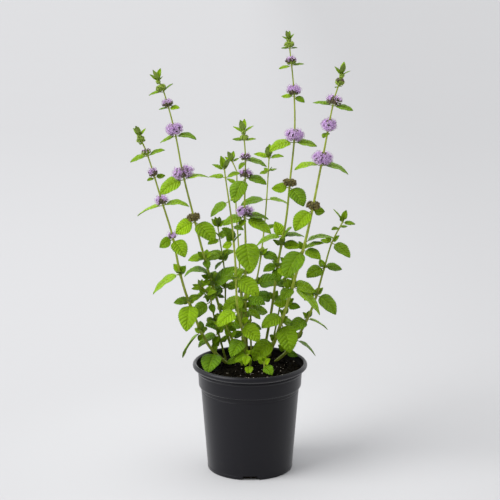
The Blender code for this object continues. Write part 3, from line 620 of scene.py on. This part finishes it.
def add_petal(piece, start, end, side, half_width, thickness, slot, mark, round_tip=0.75):
    """A small flat closed blade from one point to another."""
    run = end - start
    up = run.cross(side).normalized()
    side = up.cross(run).normalized()
    points = [start]
    for share, part in ((0.35, 0.75), (round_tip, 1.0)):
        middle = start + run * share
        for across, lift in ((1, 0), (0, 1), (-1, 0), (0, -1)):
            points.append(middle + side * across * half_width * part + up * lift * thickness / 2)
    points.append(end)
    faces = []
    for a, b in ((1, 2), (2, 3), (3, 4), (4, 1)):
        faces += [(0, a, b), (a, a + 4, b + 4, b), (9, b + 4, a + 4)]
    piece.add(points, faces, slot, mark)


def add_stem(piece, shoot, knots):
    """A square stem with rounded corners and hollowed sides, a little swollen at its knots."""
    route = ROUTES[shoot]
    foot, tip = route[0][2] - STEM_DEPTH, route[-1][2] + 1
    rings = math.ceil((tip - foot) / RING_STEP)
    foot_tint, tip_tint = STEM_TINTS[shoot]
    points, marks = [], []
    for ring in range(rings + 1):
        height = foot + (tip - foot) * ring / rings
        middle = route_point(route, height)
        along = (route_point(route, height + 1) - route_point(route, height - 1)).normalized()
        side, front = cross_section(along)
        half = stem_width(shoot, height) / 2
        swell = sum(math.exp(-((height - knot) / KNOT_REACH) ** 2) for knot in knots)
        half *= 1 + KNOT_SWELL * swell
        share = min(max((height - SOIL_EDGE) / OLD_WOOD, 0), 1)
        tint = foot_tint + (tip_tint - foot_tint) * share
        for step in range(STEM_SIDES):
            angle = math.tau * (step + 0.5) / STEM_SIDES
            across, out = math.cos(angle), math.sin(angle)
            square = (abs(across) ** SQUARENESS + abs(out) ** SQUARENESS) ** (-1 / SQUARENESS)
            reach = half * square * (1 - STEM_HOLLOW * math.cos(4 * angle))
            points.append(middle + (side * across + front * out) * reach)
            marks.append((math.cos(4 * angle), (height - foot) / (tip - foot), tint))
    piece.add(points, ring_faces(rings + 1, STEM_SIDES), STEM_SLOT, marks)


def add_leaf(piece, root, place, slim, tint, draws):
    """A toothed leaf with its stalk, thin and closed, along the part's own midrib."""
    facing, rise, length, lean, bend = place
    bend = math.radians(bend)
    start = math.radians(rise) + bend / 2
    heading = np.array([math.cos(math.radians(facing)), math.sin(math.radians(facing)), 0])
    light = np.array(sunward(root.z, lean))
    width, stalk = next(kind[1:] for kind in LEAF_KINDS if length >= kind[0])
    width *= slim
    full = length >= SHORT_LEAF
    across = np.array(WIDE_COLUMNS if full else NARROW_COLUMNS)
    teeth = max(round(length * (1 - LEAF_START) / TOOTH_STEP), 5)

    begin = LEAF_START + 1.0 / length
    along = [0.0]
    for tooth in range(1, teeth):
        along += [(tooth - 1 + TOOTH_PEAK) / teeth, tooth / teeth]
    along += [(teeth - 1 + TOOTH_PEAK) / teeth, 1.0]
    along = np.array([-1.0, -0.5] + along)
    share = np.where(along < 0, begin * (1 + along), begin + (1 - begin) * along)
    blade = np.clip(along, 0, 1)

    angle = start - bend * share
    out = (math.sin(start) - np.sin(angle)) / bend * length
    up = (np.cos(angle) - math.cos(start)) / bend * length
    run = heading * np.cos(angle)[:, None] + np.array([0, 0, 1]) * np.sin(angle)[:, None]
    side = unit(np.cross(light, run))
    normal = unit(np.cross(run, side))
    middle = np.array(root) + heading * out[:, None] + np.array([0, 0, 1]) * up[:, None]
    middle += side * (draws.uniform(-SWEEP, SWEEP) * length * blade ** 2)[:, None]
    twist = math.radians(draws.uniform(-TWIST, TWIST)) * blade
    turned = side * np.cos(twist)[:, None] + normal * np.sin(twist)[:, None]
    normal = normal * np.cos(twist)[:, None] - side * np.sin(twist)[:, None]

    stalk_half = STALK_HALF * stalk
    half = blade ** BASE_POWER * (1 - blade) ** TIP_POWER / LEAF_PEAK * width * length
    half = np.where(along < 0.05, np.maximum(half, stalk_half), np.maximum(half, LEAST_HALF))
    tooth = TOOTH_HEIGHT * min(length / TOOTH_LENGTH, 1.15) * np.sin(np.pi * blade) ** 0.5
    peaks = np.zeros(len(along))
    peaks[3::2] = 1.0
    peaks[4::2] = -NOTCH
    peaks *= tooth * (along > 0.06)
    edge = (np.abs(across) > 0.99) * np.sign(across)
    reach = half[:, None] * across + peaks[:, None] * edge

    size = np.abs(across)
    flat = (along >= 0)[:, None] * 1.0
    height = half[:, None] * (size * math.tan(math.radians(FOLD)) - CUPPING * size ** 2)
    veins = VEINS if full else VEINS - 2
    phase = (blade[:, None] - VEIN_SWEEP * size ** VEIN_POWER) * veins
    swell = np.abs(np.sin(np.pi * phase)) * np.sin(np.pi * np.clip(size, 0, 1)) ** 0.6
    height += QUILT * length * (swell - 0.5) * flat * np.sin(np.pi * blade)[:, None] ** 0.5
    wave = draws.uniform(0, math.tau)
    ripple = np.sin(math.tau * WAVES * blade[:, None] + wave + across * 1.5) * size ** 3
    height += RIPPLE * length * ripple * np.sin(np.pi * blade)[:, None]
    height *= flat

    solid = np.clip(-along * 4 + 0.4, 0, 1)[:, None]
    thick = solid * STALK_THICKNESS * stalk * np.sqrt(np.clip(1 - size ** 2, 0.02, 1))
    thick += (1 - solid) * (LEAF_THICKNESS - EDGE_THINNING * size ** 2)
    rib = RIB * stalk * (1 - blade)[:, None] ** 0.5 * (size < 0.02) * (1 - solid)

    upper = middle[:, None] + turned[:, None] * reach[..., None]
    lower = upper + normal[:, None] * (height - thick / 2 - rib)[..., None]
    upper = upper + normal[:, None] * (height + thick / 2 - rib * 0.3)[..., None]
    rows, columns, sides = len(along) - 1, len(across), 2 * len(across)
    rings = np.concatenate([lower[:-1], upper[:-1, ::-1]], axis=1)
    points = np.concatenate([rings.reshape(-1, 3), middle[-1:]])
    mark = np.stack([np.tile([*across, *across[::-1]], (rows, 1)),
                     np.tile(along[:-1, None], (1, sides)), np.full((rows, sides), tint)], axis=-1)
    *faces, foot, _ = ring_faces(rows, sides)
    faces = [face[1:] + face[:1] if columns - 1 <= face[0] % sides < sides - 1 else face
             for face in faces]
    last, end = (rows - 1) * sides, rows * sides
    faces += [foot] + [(last + side, last + (side + 1) % sides, end) for side in range(sides)]
    skin = [UNDER_SLOT] * (columns - 1) + [TOP_SLOT] * (columns + 1)
    slots = [STEM_SLOT] * (2 * sides) + skin * (rows - 3) + [STEM_SLOT] + skin
    piece.add(points, faces, slots, np.concatenate([mark.reshape(-1, 3), [(0, 1, tint)]]))


def add_calyx(piece, base, direction, length, radius, slot, tint, flare=1.15):
    """A ribbed little cup with five pointed teeth."""
    middles = [base, base + direction * length * 0.45, base + direction * length]
    add_tube(piece, middles, [radius * 0.55, radius, radius * flare], 5, slot, (0, 0, tint))
    for step in range(5):
        way = around(*frame_of(direction), math.tau * (step + 0.5) / 5)
        across = direction.cross(way)
        start = base + direction * length * 0.85 + way * radius * flare * 0.85
        end = start + direction * length * 0.42 + way * radius * 0.35
        add_petal(piece, start, end, across, radius * 0.42, 0.2, slot, (0, 1, tint), 0.45)


def add_flower(piece, base, direction, tint, draws):
    """An open flower: a tube, four spread lobes and four stamens that stand well out of it."""
    side, front = frame_of(direction)
    mouth = base + direction * COROLLA_TUBE
    add_tube(piece, [base, mouth], [0.4, 0.65], 5, PETAL_SLOT, (0, 0, tint))
    spin = draws.uniform(0, math.tau)
    for step in range(4):
        angle = spin + math.tau * step / 4
        way = around(side, front, angle)
        lift = draws.uniform(0.35, 1.0)
        end = mouth + (way + direction * lift).normalized() * PETAL_LENGTH * draws.uniform(
            0.85, 1.15)
        add_petal(piece, mouth + way * 0.3, end, direction.cross(way), PETAL_HALF, 0.18,
                  PETAL_SLOT, (0, 1, tint + draws.uniform(-0.15, 0.15)))
        way = around(side, front, angle + math.tau / 8)
        end = mouth + (way * 0.35 + direction).normalized() * STAMEN * draws.uniform(0.75, 1.05)
        add_tube(piece, [mouth, end], [0.13, 0.09], 3, STAMEN_SLOT, (0, 0, tint))
        add_tube(piece, [end, end + direction * 0.25, end + direction * 0.5], [0.12, 0.3, 0.1], 4,
                 STAMEN_SLOT, (0, 1, tint))


def add_whorl(piece, shoot, base, kind, height, diameter, depth, facing, draws):
    """A ring of florets packed round the stem.

    Flowers open from the top, in some whorls first above the two leaves of the pair; the rest
    are calyces, greener low down.
    """
    middle, along = on_line(stem_line(shoot), height)
    side, front = cross_section(along)
    core = stem_width(shoot, height) / 2
    radius, half = diameter / 2, depth / 2
    total = max(int(math.tau * radius * depth / FLORET_ROOM[kind]), 8)
    name = f"{shoot}{base}"
    flowers = FLOWERING.get(name, 0)
    green = GREEN.get(name, GREEN[kind])
    sided, lobes = TWO_SIDED if name in TWO_SIDED_WHORLS else ONE_ROUND
    heart = {"cup": CUP_SLOT, "dry": DRY_SLOT}.get(kind, CALYX_SLOT)
    middles = [middle + along * half * up for up, _ in HEART_RINGS]
    radii = [max(radius * part, core * 1.3) for _, part in HEART_RINGS]
    add_tube(piece, middles, radii, 10, heart, (0, 0, 0.3))
    for index in range(total):
        level = 2 * (index + 0.5) / total - 1
        swing = index * GOLDEN_ANGLE + draws.uniform(-0.25, 0.25)
        aside = abs(math.cos(swing - math.radians(facing)))
        lobe = 1 + lobes * (2 * aside ** 2 - 1)
        climb = math.asin(level) * 0.85 + draws.uniform(-0.1, 0.1)
        radial = around(side, front, swing)
        reach = radius * lobe * draws.uniform(0.9, 1.04)
        end = middle + radial * reach * math.cos(climb) + along * half * math.sin(climb) * lobe
        foot = middle + radial * core + along * half * 0.45 * math.sin(climb)
        direction = (end - foot + along * 0.6).normalized()
        span = (end - foot).length
        tint = draws.random()
        rank = (level + 1) / 2 + sided * (aside - MEAN_ASIDE) + draws.uniform(-0.1, 0.1)
        if flowers and rank > 1 - flowers:
            flower = COROLLA_TUBE + STAMEN
            calyx = min(2.6, max(span - flower * 0.9, 1.2))
            mouth = end - direction * min(flower, span * 0.75)
            add_calyx(piece, mouth - direction * calyx, direction, calyx, 0.62, CALYX_SLOT, tint)
            add_flower(piece, mouth, direction, tint, draws)
            continue
        shape = CALYX_SHAPES[kind]
        calyx = min(shape[0], span * 0.85)
        slot = heart if kind == "dry" else CALYX_SLOT
        if kind != "dry" and (level + 1) / 2 < green:
            slot = CUP_SLOT
        mouth = end - direction * calyx * shape[2]
        add_calyx(piece, mouth - direction * calyx, direction, calyx, shape[1], slot, tint)
        if kind in ("bloom", "bud") and rank > BUD_RANK:
            middles = [mouth - direction * 0.3, mouth + direction * 0.5, mouth + direction * 1.3]
            add_tube(piece, middles, [0.45, 0.6, 0.25], 6, PETAL_SLOT, (0, 0.2, tint))


def rounded(corners):
    """A profile of (r, z, fillet) corners with each corner turned into a small arc."""
    made = []
    for index, (r, z, fillet) in enumerate(corners):
        here = Vector((r, z))
        if fillet == 0 or index in (0, len(corners) - 1):
            made.append((r, z))
            continue
        before = (Vector(corners[index - 1][:2]) - here).normalized()
        after = (Vector(corners[index + 1][:2]) - here).normalized()
        start, end = here + before * fillet, here + after * fillet
        for step in range(ARC_STEPS + 1):
            share = step / ARC_STEPS
            made.append(tuple(start.lerp(here, share).lerp(here.lerp(end, share), share)))
    return made


def revolve(profile, sides):
    """Points and faces of a solid of revolution whose profile starts and ends on the axis."""
    turns = [math.tau * step / sides for step in range(sides)]
    points = [(r * math.cos(turn), r * math.sin(turn), z) for r, z in profile[1:-1]
              for turn in turns]
    points = [(0, 0, profile[0][1]), *points, (0, 0, profile[-1][1])]
    last = len(points) - 1
    faces = []
    for step in range(sides):
        after = (step + 1) % sides
        faces.append((0, 1 + after, 1 + step))
        for a in range(1, last - sides, sides):
            faces.append((a + step, a + after, a + sides + after, a + sides + step))
        faces.append((last - sides + step, last - sides + after, last))
    return points, faces


def make_pot():
    """The pot with rounded edges, cut by its drain slots."""
    piece = Gathered("pot_shell")
    corners = [(radius + out, height + up, fillet) for radius, height, steps in POT_PROFILE
               for out, up, fillet in steps]
    shell = rounded([(0, 0, 0), *corners, (0, BASE_THICKNESS, 0)])
    points, faces = revolve(shell, POT_SIDES)
    within = max(index for index, corner in enumerate(shell) if corner[0] > MOUTH_RADIUS)
    slots = [int(index % (len(shell) - 1) >= within) for index in range(len(faces))]
    piece.add(points, faces, slots, (0, 0, 0.5))
    pot = piece.make([pot_black(), pot_inside_shaded()], POT_SHARP)
    cutters = bpy.data.collections.new("cutters")
    bpy.context.scene.collection.children.link(cutters)
    for index in range(DRAINS):
        turn = math.tau * index / DRAINS - math.pi / 2
        bm = bmesh.new()
        bmesh.ops.create_cube(bm, size=1)
        for vertex in bm.verts:
            vertex.co.y *= DRAIN_TOP if vertex.co.z > 0 else DRAIN_FOOT
        place = Matrix.Rotation(turn, 4, "Z") @ Matrix.Translation((BASE_RADIUS * MM, 0, 0))
        size = Vector((2 * DRAIN_REACH, DRAIN_WIDTH, 2 * DRAIN_HEIGHT)) * MM
        bm.transform(place @ Matrix.Diagonal((*size, 1)))
        mesh = bpy.data.meshes.new("cutter")
        bm.to_mesh(mesh)
        bm.free()
        cutters.objects.link(bpy.data.objects.new("cutter", mesh))
    boolean = pot.modifiers.new("drains", "BOOLEAN")
    boolean.operation = "DIFFERENCE"
    boolean.operand_type = "COLLECTION"
    boolean.collection = cutters
    boolean.solver = "EXACT"
    depsgraph = bpy.context.evaluated_depsgraph_get()
    pot.data = bpy.data.meshes.new_from_object(pot.evaluated_get(depsgraph))
    pot.modifiers.clear()
    for cutter in list(cutters.objects):
        bpy.data.objects.remove(cutter, do_unlink=True)
    bpy.data.collections.remove(cutters)
    pot.data.shade_smooth()
    pot.data.set_sharp_from_angle(angle=math.radians(POT_SHARP))
    return pot


def make_soil():
    """Potting mix with a crumbly top, lumps of peat and a few bits of pale grit."""
    draws = random.Random(SEED)
    piece = Gathered("soil_mix")
    edge = COLLAR_RADIUS - WALL - GAP - 0.3
    top = [(edge * share, SOIL_EDGE + SOIL_MOUND * (1 - share))
           for share in np.linspace(1, 0, SOIL_RINGS + 1)]
    wall = [(BASE_RADIUS - WALL - GAP, BASE_THICKNESS + GAP),
            (BODY_TOP_RADIUS - WALL - GAP, COLLAR_BOTTOM - 0.4),
            (COLLAR_RADIUS - WALL - 1.0 - GAP, COLLAR_BOTTOM + 1.0)]
    points, faces = revolve([(0, BASE_THICKNESS + GAP)] + wall + top, SOIL_SIDES)

    def relief(x, y):
        """How far the soil stands above its smooth mound."""
        place = Vector((x, y, 0))
        return (noise.noise(place * 0.09) * 1.3 + noise.noise(place * 0.33) * 0.8
                + noise.noise(place * 0.9) * 0.45)

    points = [(x, y, z + relief(x, y) if z > SOIL_EDGE - 0.1 else z) for x, y, z in points]
    piece.add(points, faces, 0, (0, 0, 0.5))

    bm = bmesh.new()
    bmesh.ops.create_icosphere(bm, subdivisions=1, radius=1)
    lump = [vertex.co.copy() for vertex in bm.verts]
    lump_faces = [tuple(vertex.index for vertex in face.verts) for face in bm.faces]
    bm.free()
    for index in range(CRUMBS + GRITS):
        grit = index >= CRUMBS
        angle = draws.gauss(-1.2, 0.9) if grit else draws.uniform(0, math.tau)
        distance = (edge - 1.5) * math.sqrt(draws.random())
        x, y = distance * math.cos(angle), distance * math.sin(angle)
        size = draws.uniform(0.5, 1.0) if grit else draws.uniform(0.5, 1.0) ** 2 * 2.2
        z = SOIL_EDGE + SOIL_MOUND * (1 - distance / edge) + relief(x, y) + size * 0.25
        turn = Matrix.Rotation(draws.uniform(0, math.tau), 3, "Z")
        shape = turn @ Matrix.Diagonal((1, draws.uniform(0.6, 1), draws.uniform(0.45, 0.8)))
        body = [shape @ (vertex * size * draws.uniform(0.75, 1.2)) + Vector((x, y, z))
                for vertex in lump]
        piece.add(body, lump_faces, int(grit), (0, 0, draws.random()))
    return piece.make([peat(), grit_bits()], SOIL_SHARP)


class Shading:
    """The nodes of a material or of the world, made by short calls."""

    def __init__(self, name, family="materials"):
        self.owner = getattr(bpy.data, family).new(name)
        self.owner.use_nodes = True
        self.tree = self.owner.node_tree
        self.tree.nodes.clear()

    def node(self, kind, values=None, **settings):
        """A node with its settings, and its inputs set or linked."""
        made = self.tree.nodes.new("ShaderNode" + kind)
        for name, value in settings.items():
            setattr(made, name, value)
        for key, value in (values or {}).items():
            if isinstance(value, bpy.types.NodeSocket):
                self.tree.links.new(value, made.inputs[key])
            else:
                made.inputs[key].default_value = value
        return made

    def math(self, operation, *values):
        """The result of a Math node."""
        return self.node("Math", dict(enumerate(values)), operation=operation).outputs[0]

    def times(self, first, second):
        """A product."""
        return self.math("MULTIPLY", first, second)

    def plus(self, first, second):
        """A sum."""
        return self.math("ADD", first, second)

    def span(self, value, low, high, new_low=0.0, new_high=1.0):
        """A value carried from one range to another along a smooth step."""
        values = {"Value": value, "From Min": low, "From Max": high, "To Min": new_low,
                  "To Max": new_high}
        return self.node("MapRange", values, interpolation_type="SMOOTHSTEP").outputs["Result"]

    def mix(self, share, first, second):
        """A mix of two colours."""
        values = {0: share}
        for key, value in ((6, first), (7, second)):
            values[key] = value if isinstance(value, bpy.types.NodeSocket) else (*value, 1.0)
        return self.node("Mix", values, data_type="RGBA").outputs[2]

    def tone(self, colour, value):
        """A colour made lighter or darker by a value."""
        values = {"Color": colour, "Value": value}
        return self.node("HueSaturation", values).outputs["Color"]

    def place(self, kind="Object"):
        """Where a point lies, in the object's own metres."""
        return self.node("TexCoord").outputs[kind]

    def parts(self, vector):
        """The three numbers of a vector."""
        return list(self.node("SeparateXYZ", {0: vector}).outputs)

    def mark(self):
        """The marks of the mesh: across, along and tint."""
        read = self.node("Attribute", attribute_name="mark", attribute_type="GEOMETRY")
        return self.parts(read.outputs["Vector"])

    def noise(self, scale, detail=3.0, stretch=None):
        """Noise in the object's own metres, stretched along its height if asked."""
        place = self.place()
        if stretch:
            place = self.node("Mapping", {"Vector": place, "Scale": stretch}).outputs["Vector"]
        return self.node("TexNoise", {"Vector": place, "Scale": scale, "Detail": detail}).outputs[0]

    def bump(self, height, distance):
        """A bump of so many metres."""
        values = {"Height": height, "Distance": distance, "Strength": 1.0}
        return self.node("Bump", values).outputs["Normal"]

    def finish(self, colour, roughness, normal=None, glow=0.0, glow_colour=None, **settings):
        """The Principled shader, with light passing through the piece where it glows."""
        values = {"Base Color": colour, "Roughness": roughness}
        if normal:
            values["Normal"] = normal
        values.update((name.replace("_", " "), value) for name, value in settings.items())
        surface = self.node("BsdfPrincipled", values).outputs[0]
        if glow:
            through = self.node("BsdfTranslucent", {"Color": glow_colour or colour}).outputs[0]
            surface = self.node("MixShader", {0: glow, 1: surface, 2: through}).outputs[0]
        self.node("OutputMaterial", {"Surface": surface})
        return self.owner


def leaf_surface(name, deep, bright, vein, glow, relief):
    """A leaf's skin: veins in creases of painted shade, a quilted relief between them and a mottled
    green.
    """
    skin = Shading(name)
    across, along, tint = skin.mark()
    size = skin.math("ABSOLUTE", across)
    bent = skin.times(skin.math("POWER", size, VEIN_POWER), VEIN_SWEEP)
    phase = skin.times(skin.math("SUBTRACT", along, bent), float(VEINS))
    near = skin.math("PINGPONG", phase, 0.5)
    side_vein = skin.times(skin.span(near, 0.03, 0.13, 1.0, 0.0),
                           skin.span(size, 0.75, 0.98, 0.75, 0.0))
    veins = skin.math("MAXIMUM", side_vein, skin.span(size, 0.02, 0.1, 1.0, 0.0))
    cells = skin.node("TexVoronoi", {"Vector": skin.place(), "Scale": 800.0},
                      feature="DISTANCE_TO_EDGE").outputs[0]
    mottle = skin.noise(260.0, 4.0)
    patches = skin.noise(45.0, 2.0)
    colour = skin.mix(skin.times(veins, VEIN_SHOW), skin.mix(tint, deep, bright), vein)
    # Painted shade: the tone darkens in a band along each side vein, where its crease lies
    crease_shade = skin.times(skin.span(near, 0.04, 0.26, 1.0, 0.0),
                        skin.span(size, 0.05, 0.95, CREASE_SHADE, 0.0))
    value = skin.plus(skin.times(mottle, 0.7), skin.times(patches, 0.7))
    value = skin.plus(skin.math("SUBTRACT", value, crease_shade), 0.36)
    colour = skin.tone(colour, value)
    bulge = skin.plus(skin.span(near, 0.0, 0.4), skin.times(cells, 0.9))
    bulge = skin.times(bulge, skin.span(size, 0.0, 0.15, 0.3, 1.0))
    rough = skin.span(mottle, 0.3, 0.7, 0.3, 0.48)
    return skin.finish(colour, rough, skin.bump(bulge, relief), glow, skin.tone(colour, 1.25),
                       Specular_IOR_Level=0.22)


def stem_green():
    """A stem's skin: streaks of olive and yellow-green with pale corners."""
    skin = Shading("stem_green")
    corner, _, tint = skin.mark()
    streaks = skin.noise(900.0, 3.0, (1.0, 1.0, 0.06))
    patches = skin.span(skin.noise(60.0, 2.0, (1.0, 1.0, 0.4)), 0.52, 0.7)
    share = skin.span(streaks, 0.35, 0.65)
    dark = skin.mix(share, (0.14, 0.19, 0.011), (0.25, 0.32, 0.03))
    pale = skin.mix(share, (0.31, 0.39, 0.028), (0.46, 0.54, 0.09))
    colour = skin.mix(skin.times(patches, 0.25), skin.mix(tint, dark, pale), (0.19, 0.17, 0.02))
    edges = skin.times(skin.span(corner, -1.0, -0.6, 1.0, 0.0), 0.25)
    colour = skin.mix(edges, colour, (0.3, 0.42, 0.06))
    rough = skin.span(streaks, 0.2, 0.8, 0.4, 0.55)
    return skin.finish(colour, rough, skin.bump(streaks, 0.0002), 0.12, Specular_IOR_Level=0.22)


def petal_lilac():
    """Petals: lilac, paler on some florets, finely flecked, thin enough to let light through."""
    skin = Shading("petal_lilac")
    tint = skin.mark()[2]
    grain = skin.noise(1500.0, 2.0)
    colour = skin.mix(tint, (0.76, 0.50, 0.88), (0.90, 0.72, 0.96))
    colour = skin.mix(skin.times(grain, 0.4), colour, (0.95, 0.88, 0.98))
    rough = skin.span(grain, 0.3, 0.7, 0.55, 0.7)
    return skin.finish(colour, rough, skin.bump(grain, 0.0001), 0.4)


def stamen_pale():
    """Stamens: pale lilac threads with darker violet heads."""
    skin = Shading("stamen_pale")
    grain = skin.noise(2000.0, 2.0)
    colour = skin.mix(skin.mark()[1], (0.84, 0.70, 0.88), (0.42, 0.24, 0.46))
    colour = skin.tone(colour, skin.span(grain, 0.2, 0.8, 0.85, 1.15))
    return skin.finish(colour, skin.span(grain, 0.2, 0.8, 0.5, 0.7), None, 0.25)


def calyx_skin(name, foot, teeth, spread, down=0.2):
    """A calyx: one colour at its foot, another on its teeth, ribbed and finely hairy."""
    skin = Shading(name)
    _, along, tint = skin.mark()
    grain = skin.noise(700.0, 3.0)
    value = skin.span(skin.plus(tint, grain), 0.3, 1.5, 1 - spread, 1 + spread)
    colour = skin.tone(skin.mix(along, foot, teeth), value)
    rough = skin.span(grain, 0.3, 0.7, 0.65, 0.85)
    return skin.finish(colour, rough, skin.bump(grain, 0.0002), 0.1, Sheen_Weight=down)


def pot_black():
    """Moulded black plastic: satin, with a fine grain, flow marks and a little dust low down."""
    skin = Shading("pot_black")
    height = skin.parts(skin.place())[2]
    grain = skin.noise(1400.0, 2.0)
    flow = skin.noise(55.0, 4.0, (1.0, 1.0, 0.15))
    dust = skin.span(skin.noise(90.0, 5.0), 0.5, 0.8)
    dusty = skin.times(dust, skin.span(height, 0.0, 0.05, 0.5, 0.12))
    colour = skin.mix(flow, (0.0052, 0.0049, 0.0072), (0.0071, 0.0068, 0.0098))
    colour = skin.mix(skin.times(dusty, 0.04), colour, (0.16, 0.14, 0.12))
    rough = skin.plus(skin.span(flow, 0.3, 0.7, 0.33, 0.4), skin.times(grain, 0.06))
    relief = skin.plus(skin.times(grain, 0.25), flow)
    return skin.finish(colour, rough, skin.bump(relief, 0.00012), Specular_IOR_Level=0.22,
                       Sheen_Weight=0.3, Sheen_Roughness=0.35)


def pot_inside_shaded():
    """The inside of the wall: the same plastic, dull and darker than outside, as painted shade."""
    skin = Shading("pot_inside_shaded")
    shaded_grain = skin.noise(220.0, 4.0)
    # Painted shade: both tones are far darker than the outside wall's black plastic
    colour = skin.mix(shaded_grain, (0.0015, 0.0015, 0.0015), (0.005, 0.004, 0.003))
    return skin.finish(colour, skin.span(shaded_grain, 0.3, 0.7, 0.7, 0.9), skin.bump(shaded_grain, 0.0001),
                       Specular_IOR_Level=0.06)


def peat():
    """Damp potting mix: almost black, with brown fibres."""
    skin = Shading("peat")
    fine = skin.noise(900.0, 6.0)
    coarse = skin.span(skin.noise(160.0, 4.0), 0.55, 0.75)
    colour = skin.mix(skin.span(fine, 0.35, 0.7), (0.001, 0.0009, 0.0005), (0.007, 0.005, 0.002))
    colour = skin.mix(skin.times(coarse, 0.3), colour, (0.02, 0.013, 0.006))
    colour = skin.tone(colour, skin.span(skin.mark()[2], 0.0, 1.0, 0.6, 1.5))
    return skin.finish(colour, skin.span(fine, 0.3, 0.7, 0.8, 0.98), skin.bump(fine, 0.0006),
                       Specular_IOR_Level=0.04)


def grit_bits():
    """Pale grit in the mix."""
    skin = Shading("grit")
    grain = skin.noise(1100.0, 3.0)
    colour = skin.mix(skin.mark()[2], (0.16, 0.13, 0.09), (0.5, 0.45, 0.36))
    colour = skin.tone(colour, skin.span(grain, 0.3, 0.7, 0.7, 1.1))
    return skin.finish(colour, skin.span(grain, 0.3, 0.7, 0.7, 0.9), skin.bump(grain, 0.0002))


def dress(made, node):
    """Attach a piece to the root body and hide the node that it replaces."""
    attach(made, "root")
    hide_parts(node)


def make_plant(leaves, whorls):
    """Every shoot with its leaves, and every whorl."""
    top = leaf_surface("leaf_top", LEAF_DEEP, LEAF_BRIGHT, LEAF_VEIN, 0.21, 0.0008)
    under = leaf_surface("leaf_under", UNDER_DEEP, UNDER_BRIGHT, UNDER_VEIN, 0.28, 0.0004)
    stem = stem_green()
    cup = calyx_skin("cup_green", (0.22, 0.33, 0.03), (0.40, 0.48, 0.09), 0.3, 0.05)
    petal, stamen = petal_lilac(), stamen_pale()
    calyx = calyx_skin("calyx_plum", (0.12, 0.11, 0.035), (0.11, 0.035, 0.065), 0.35)
    dry = calyx_skin("calyx_dry", (0.12, 0.105, 0.015), (0.24, 0.165, 0.045), 0.35)
    skins = [top, under, stem, cup, petal, stamen, calyx, dry]
    for shoot, found in leaves.items():
        draws = random.Random(f"{SEED}{shoot}")
        piece = Gathered("foliage_" + shoot)
        add_stem(piece, shoot, sorted({round(root.z, 1) for root, _, _ in found}))
        if shoot in FLOWERING_SHOOTS:
            add_whorl(piece, shoot, 0, "cup", ROUTES[shoot][-1][2] - 1, *TIP_BUDS, 0, draws)
        for root, place, age in found:
            slim, short, tints = AGES[age]
            place = (*place[:2], place[2] * short, *place[3:])
            tint = draws.uniform(*tints) + TOP_TINT * (root.z - SOIL_EDGE) / LEAN_TOP
            # Painted shade: a darker tint for low leaves at the back, deep in the clump
            deep = min(max(root.y / BACK, 0), 1) * max(1 - (root.z - SOIL_EDGE) / DEPTH, 0)
            tint = min(max(tint - DEEP_SHADE_TINT * deep, 0), 1)
            add_leaf(piece, root, place, slim, tint, draws)
        for whorl in whorls:
            if whorl[0] == shoot and whorl[2] == "cup":
                add_whorl(piece, *whorl, draws)
        dress(piece.make(skins), "stem_" + shoot)
    for whorl in whorls:
        shoot, base, kind = whorl[:3]
        if kind == "cup":
            continue
        piece = Gathered(f"florets_{shoot}_{base}")
        add_whorl(piece, *whorl, random.Random(f"{SEED}{shoot}{base}"))
        dress(piece.make(skins), f"whorl_{shoot}_{base}")


def paper():
    """Pale studio paper: painted light brightens it near the pot, painted shade dulls it on the
    right.
    """
    skin = Shading("studio_paper")
    place = skin.place()
    across, along, _ = skin.parts(place)
    distance = skin.node("VectorMath", {0: place}, operation="LENGTH").outputs["Value"]
    # Painted light: brighter in front and round the pot; painted shade: duller on the right
    near = skin.span(along, 0.3, 3.0, PAPER_NEAR_LIGHT, 1.0)
    right = skin.span(across, -0.1, 0.5, 1.0, PAPER_RIGHT_SHADE)
    middle = skin.span(distance, 0.12, 0.4, PAPER_POT_LIGHT, 1.0)
    colour = skin.mix(skin.noise(3.0, 2.0), PAPER, [part * 1.01 for part in PAPER])
    colour = skin.tone(colour, skin.times(near, skin.times(right, middle)))
    return skin.finish(colour, 0.9, Specular_IOR_Level=0.1)


def make_sky():
    """Even fill from above and behind, weaker from the front."""
    sky = Shading("studio", "worlds")
    fill = sky.span(sky.parts(sky.place("Generated"))[1], -0.95, 0.3, *FILL)
    back = sky.node("Background", {"Color": (*FILL_COLOUR, 1.0), "Strength": fill})
    sky.node("OutputWorld", {"Surface": back.outputs[0]})
    bpy.context.scene.world = sky.owner


def make_studio():
    """A pale seamless floor, a soft key light from the left, fill and the camera."""
    bm = bmesh.new()
    bmesh.ops.create_circle(bm, cap_ends=True, segments=96, radius=FLOOR_RADIUS)
    mesh = bpy.data.meshes.new("studio_floor")
    bm.to_mesh(mesh)
    bm.free()
    mesh.materials.append(paper())
    floor = new_object("studio_floor", mesh)
    floor.location.z = -FLOOR_DROP
    make_sky()
    for name, way, width, power in LIGHTS:
        light = bpy.data.lights.new(name, "SUN")
        light.angle = math.radians(width)
        light.energy = power
        lamp = new_object(name, light)
        lamp.rotation_euler = (-Vector(way)).to_track_quat("-Z", "Y").to_euler()
    camera = bpy.data.cameras.new("camera")
    camera.lens = LENS
    camera.sensor_width = 36
    camera.clip_end = 200
    view = new_object("camera", camera)
    view.location = CAMERA_PLACE
    view.rotation_euler = (math.radians(CAMERA_TILT), 0, 0)
    bpy.context.scene.camera = view
    bpy.context.scene.view_settings.view_transform = "Standard"


def build():
    """Make the studio and every piece of the plant."""
    make_studio()
    dress(make_pot(), "pot")
    dress(make_soil(), "soil")
    make_plant(*grow())


build()
